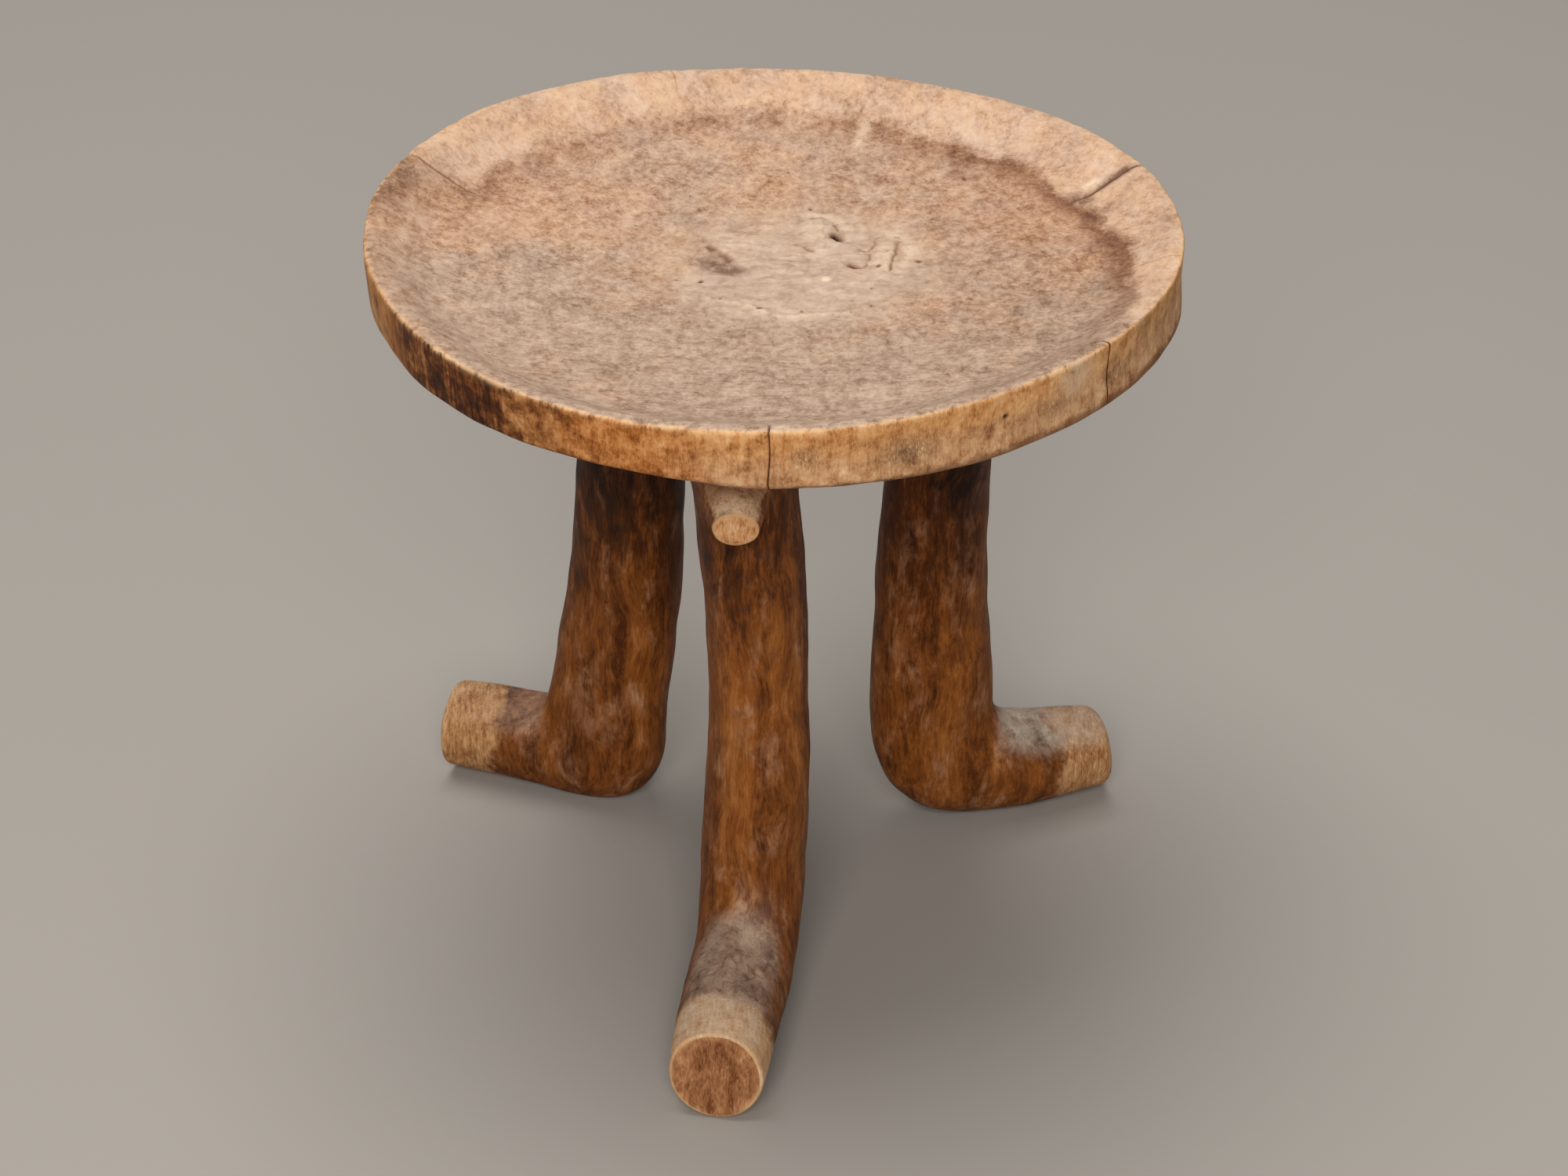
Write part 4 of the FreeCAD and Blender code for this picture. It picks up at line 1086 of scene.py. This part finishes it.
def make_leg(name, leg, material):
    rings, face, wear_and_highlight, past_cut = leg_rings(leg)
    past = past_cut + leg.sapwood
    # tone of the whole leg, plus painted shade on the shank towards the seat
    shade = leg.dim + leg.shade * smooth_step(rings[..., 2], *leg.shaded)
    shade = shade + leg.toe_shade * smooth_step(past, -4, 4)
    marks = {"toe": past, "cut": face, "wear_and_highlight": wear_and_highlight, "shade": shade}
    for kind in ("dust", "swirls"):
        marks[kind] = np.full(rings.shape[:2], getattr(leg, kind))
    rings = placed(rings, leg)
    for kind in ("knot", "bruise", "streak"):
        marks[kind] = np.zeros(rings.shape[:2])
        for spot in getattr(leg, kind, ()):
            far = (rings - np.array(spot.centre)) / np.array(spot.half)
            marks[kind] = np.maximum(marks[kind], spot.amount * np.exp(-(far ** 2).sum(axis=-1)))
    piece = add_piece("carved_" + name, rings, marks, material)
    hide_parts(name)


# The lug, on the line down from the top of the front leg. Pairs of sizes are half width and half height.

LUG_START = 8.0
LUG_LENGTH = 48.0
LUG_DROP = 14.0
LUG_DROOP = 11.0
LUG_ROOT = (16.0, 12.5)
LUG_TIP = (9.3, 8.2)
LUG_EDGE = 1.2
LUG_EDGE_ANGLES = (30, 60, 90)
LUG_WEAR_AND_HIGHLIGHT = (0.4, 0.8, 0.8, 0.4)
LUG_SECTIONS = 60
AROUND_LUG = 96


def make_lug(material):
    leg = LEGS["front_leg"]
    base = placed(np.array([*leg.lean, UNDERSIDE - LUG_DROP]), leg)
    droop = math.radians(LUG_DROOP)
    out = np.array([0, -math.cos(droop), -math.sin(droop)])
    up = np.array([0, -math.sin(droop), math.cos(droop)])
    sideways = np.array([1.0, 0, 0])
    turn = np.linspace(0, 2 * math.pi, AROUND_LUG, endpoint=False)[:, None]
    rings = []
    for share in np.linspace(0, 1, LUG_SECTIONS):
        taper = smooth_step(share, 0.05, 1.15)
        half_width = between(LUG_ROOT[0], LUG_TIP[0], taper)
        half_height = between(LUG_ROOT[1], LUG_TIP[1], taper)
        centre = base + out * (LUG_START + (LUG_LENGTH - LUG_START - LUG_EDGE) * share)
        rings.append(centre + np.cos(turn) * half_width * sideways + np.sin(turn) * half_height * up)
    edge = len(rings) - 1
    tip = base + out * (LUG_LENGTH - LUG_EDGE)
    rings += cut_end(rings[-1], tip, out, LUG_EDGE, LUG_EDGE_ANGLES, np.linspace(0.88, 0.05, 10))
    rings = np.array(rings)
    uneven = 0.5 * ripple(rings, 24, 71) + 0.2 * ripple(rings, 9, 72)
    rings = carved(rings, uneven, 3, 8)
    face, wear_and_highlight = cut_marks(rings, edge, LUG_WEAR_AND_HIGHLIGHT)
    piece = add_piece("lug_stub", rings, {"cut": face, "wear_and_highlight": wear_and_highlight}, material)
    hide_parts("carrying_lug")


make_seat()
leg_wood = leg_material()
for leg_name, leg_values in LEGS.items():
    make_leg(leg_name, leg_values, leg_wood)
make_lug(lug_material())


# The floor, the light and the camera, in metres

FLOOR_HALF = 6.0
CAMERA_PLACE = (0.0064, -1.45955, 1.0498)
CAMERA_TILT = 58.38
CAMERA_LENS = 90.0
CAMERA_SENSOR = 36.0


def make_floor():
    corners = [(FLOOR_HALF * x, FLOOR_HALF * y, 0) for x, y in ((-1, -1), (1, -1), (1, 1), (-1, 1))]
    mesh = bpy.data.meshes.new("floor")
    mesh.from_pydata(corners, [], [(0, 1, 2, 3)])
    floor = add_object("floor", mesh)
    material = bpy.data.materials.new("pale_floor")
    material.use_nodes = True
    shader = material.node_tree.nodes["Principled BSDF"]
    shader.inputs["Base Color"].default_value = paint(161, 155, 148)
    shader.inputs["Roughness"].default_value = 0.8
    mesh.materials.append(material)


def make_lamp(name, place, size, watts, colour):
    """A square lamp that shines at the middle of the seat."""
    lamp = bpy.data.lights.new(name, "AREA")
    lamp.shape = "SQUARE"
    lamp.size = size
    lamp.energy = watts
    lamp.color = colour
    holder = add_object(name, lamp)
    holder.location = place
    aim = holder.location - (seat_low + seat_high) / 2
    holder.rotation_euler = aim.to_track_quat("Z", "Y").to_euler()


def make_world(strength):
    world = bpy.data.worlds.new("soft_room")
    world.use_nodes = True
    background = world.node_tree.nodes["Background"]
    background.inputs["Color"].default_value = (1.0, 0.985, 0.965, 1.0)
    background.inputs["Strength"].default_value = strength
    bpy.context.scene.world = world


def make_camera():
    camera = bpy.data.cameras.new("camera")
    camera.lens = CAMERA_LENS
    camera.sensor_width = CAMERA_SENSOR
    holder = add_object("camera", camera)
    holder.location = CAMERA_PLACE
    holder.rotation_euler = (math.radians(CAMERA_TILT), 0, 0)
    bpy.context.scene.camera = holder


make_floor()
make_lamp("overhead", place=(-0.3, 0.6, 3.2), size=2.4, watts=82, colour=(1.0, 0.99, 0.97))
make_lamp("front", place=(-0.1, -2.1, 1.6), size=1.2, watts=40, colour=(1.0, 0.98, 0.95))
make_world(0.18)
make_camera()
bpy.context.scene.view_settings.view_transform = "Standard"
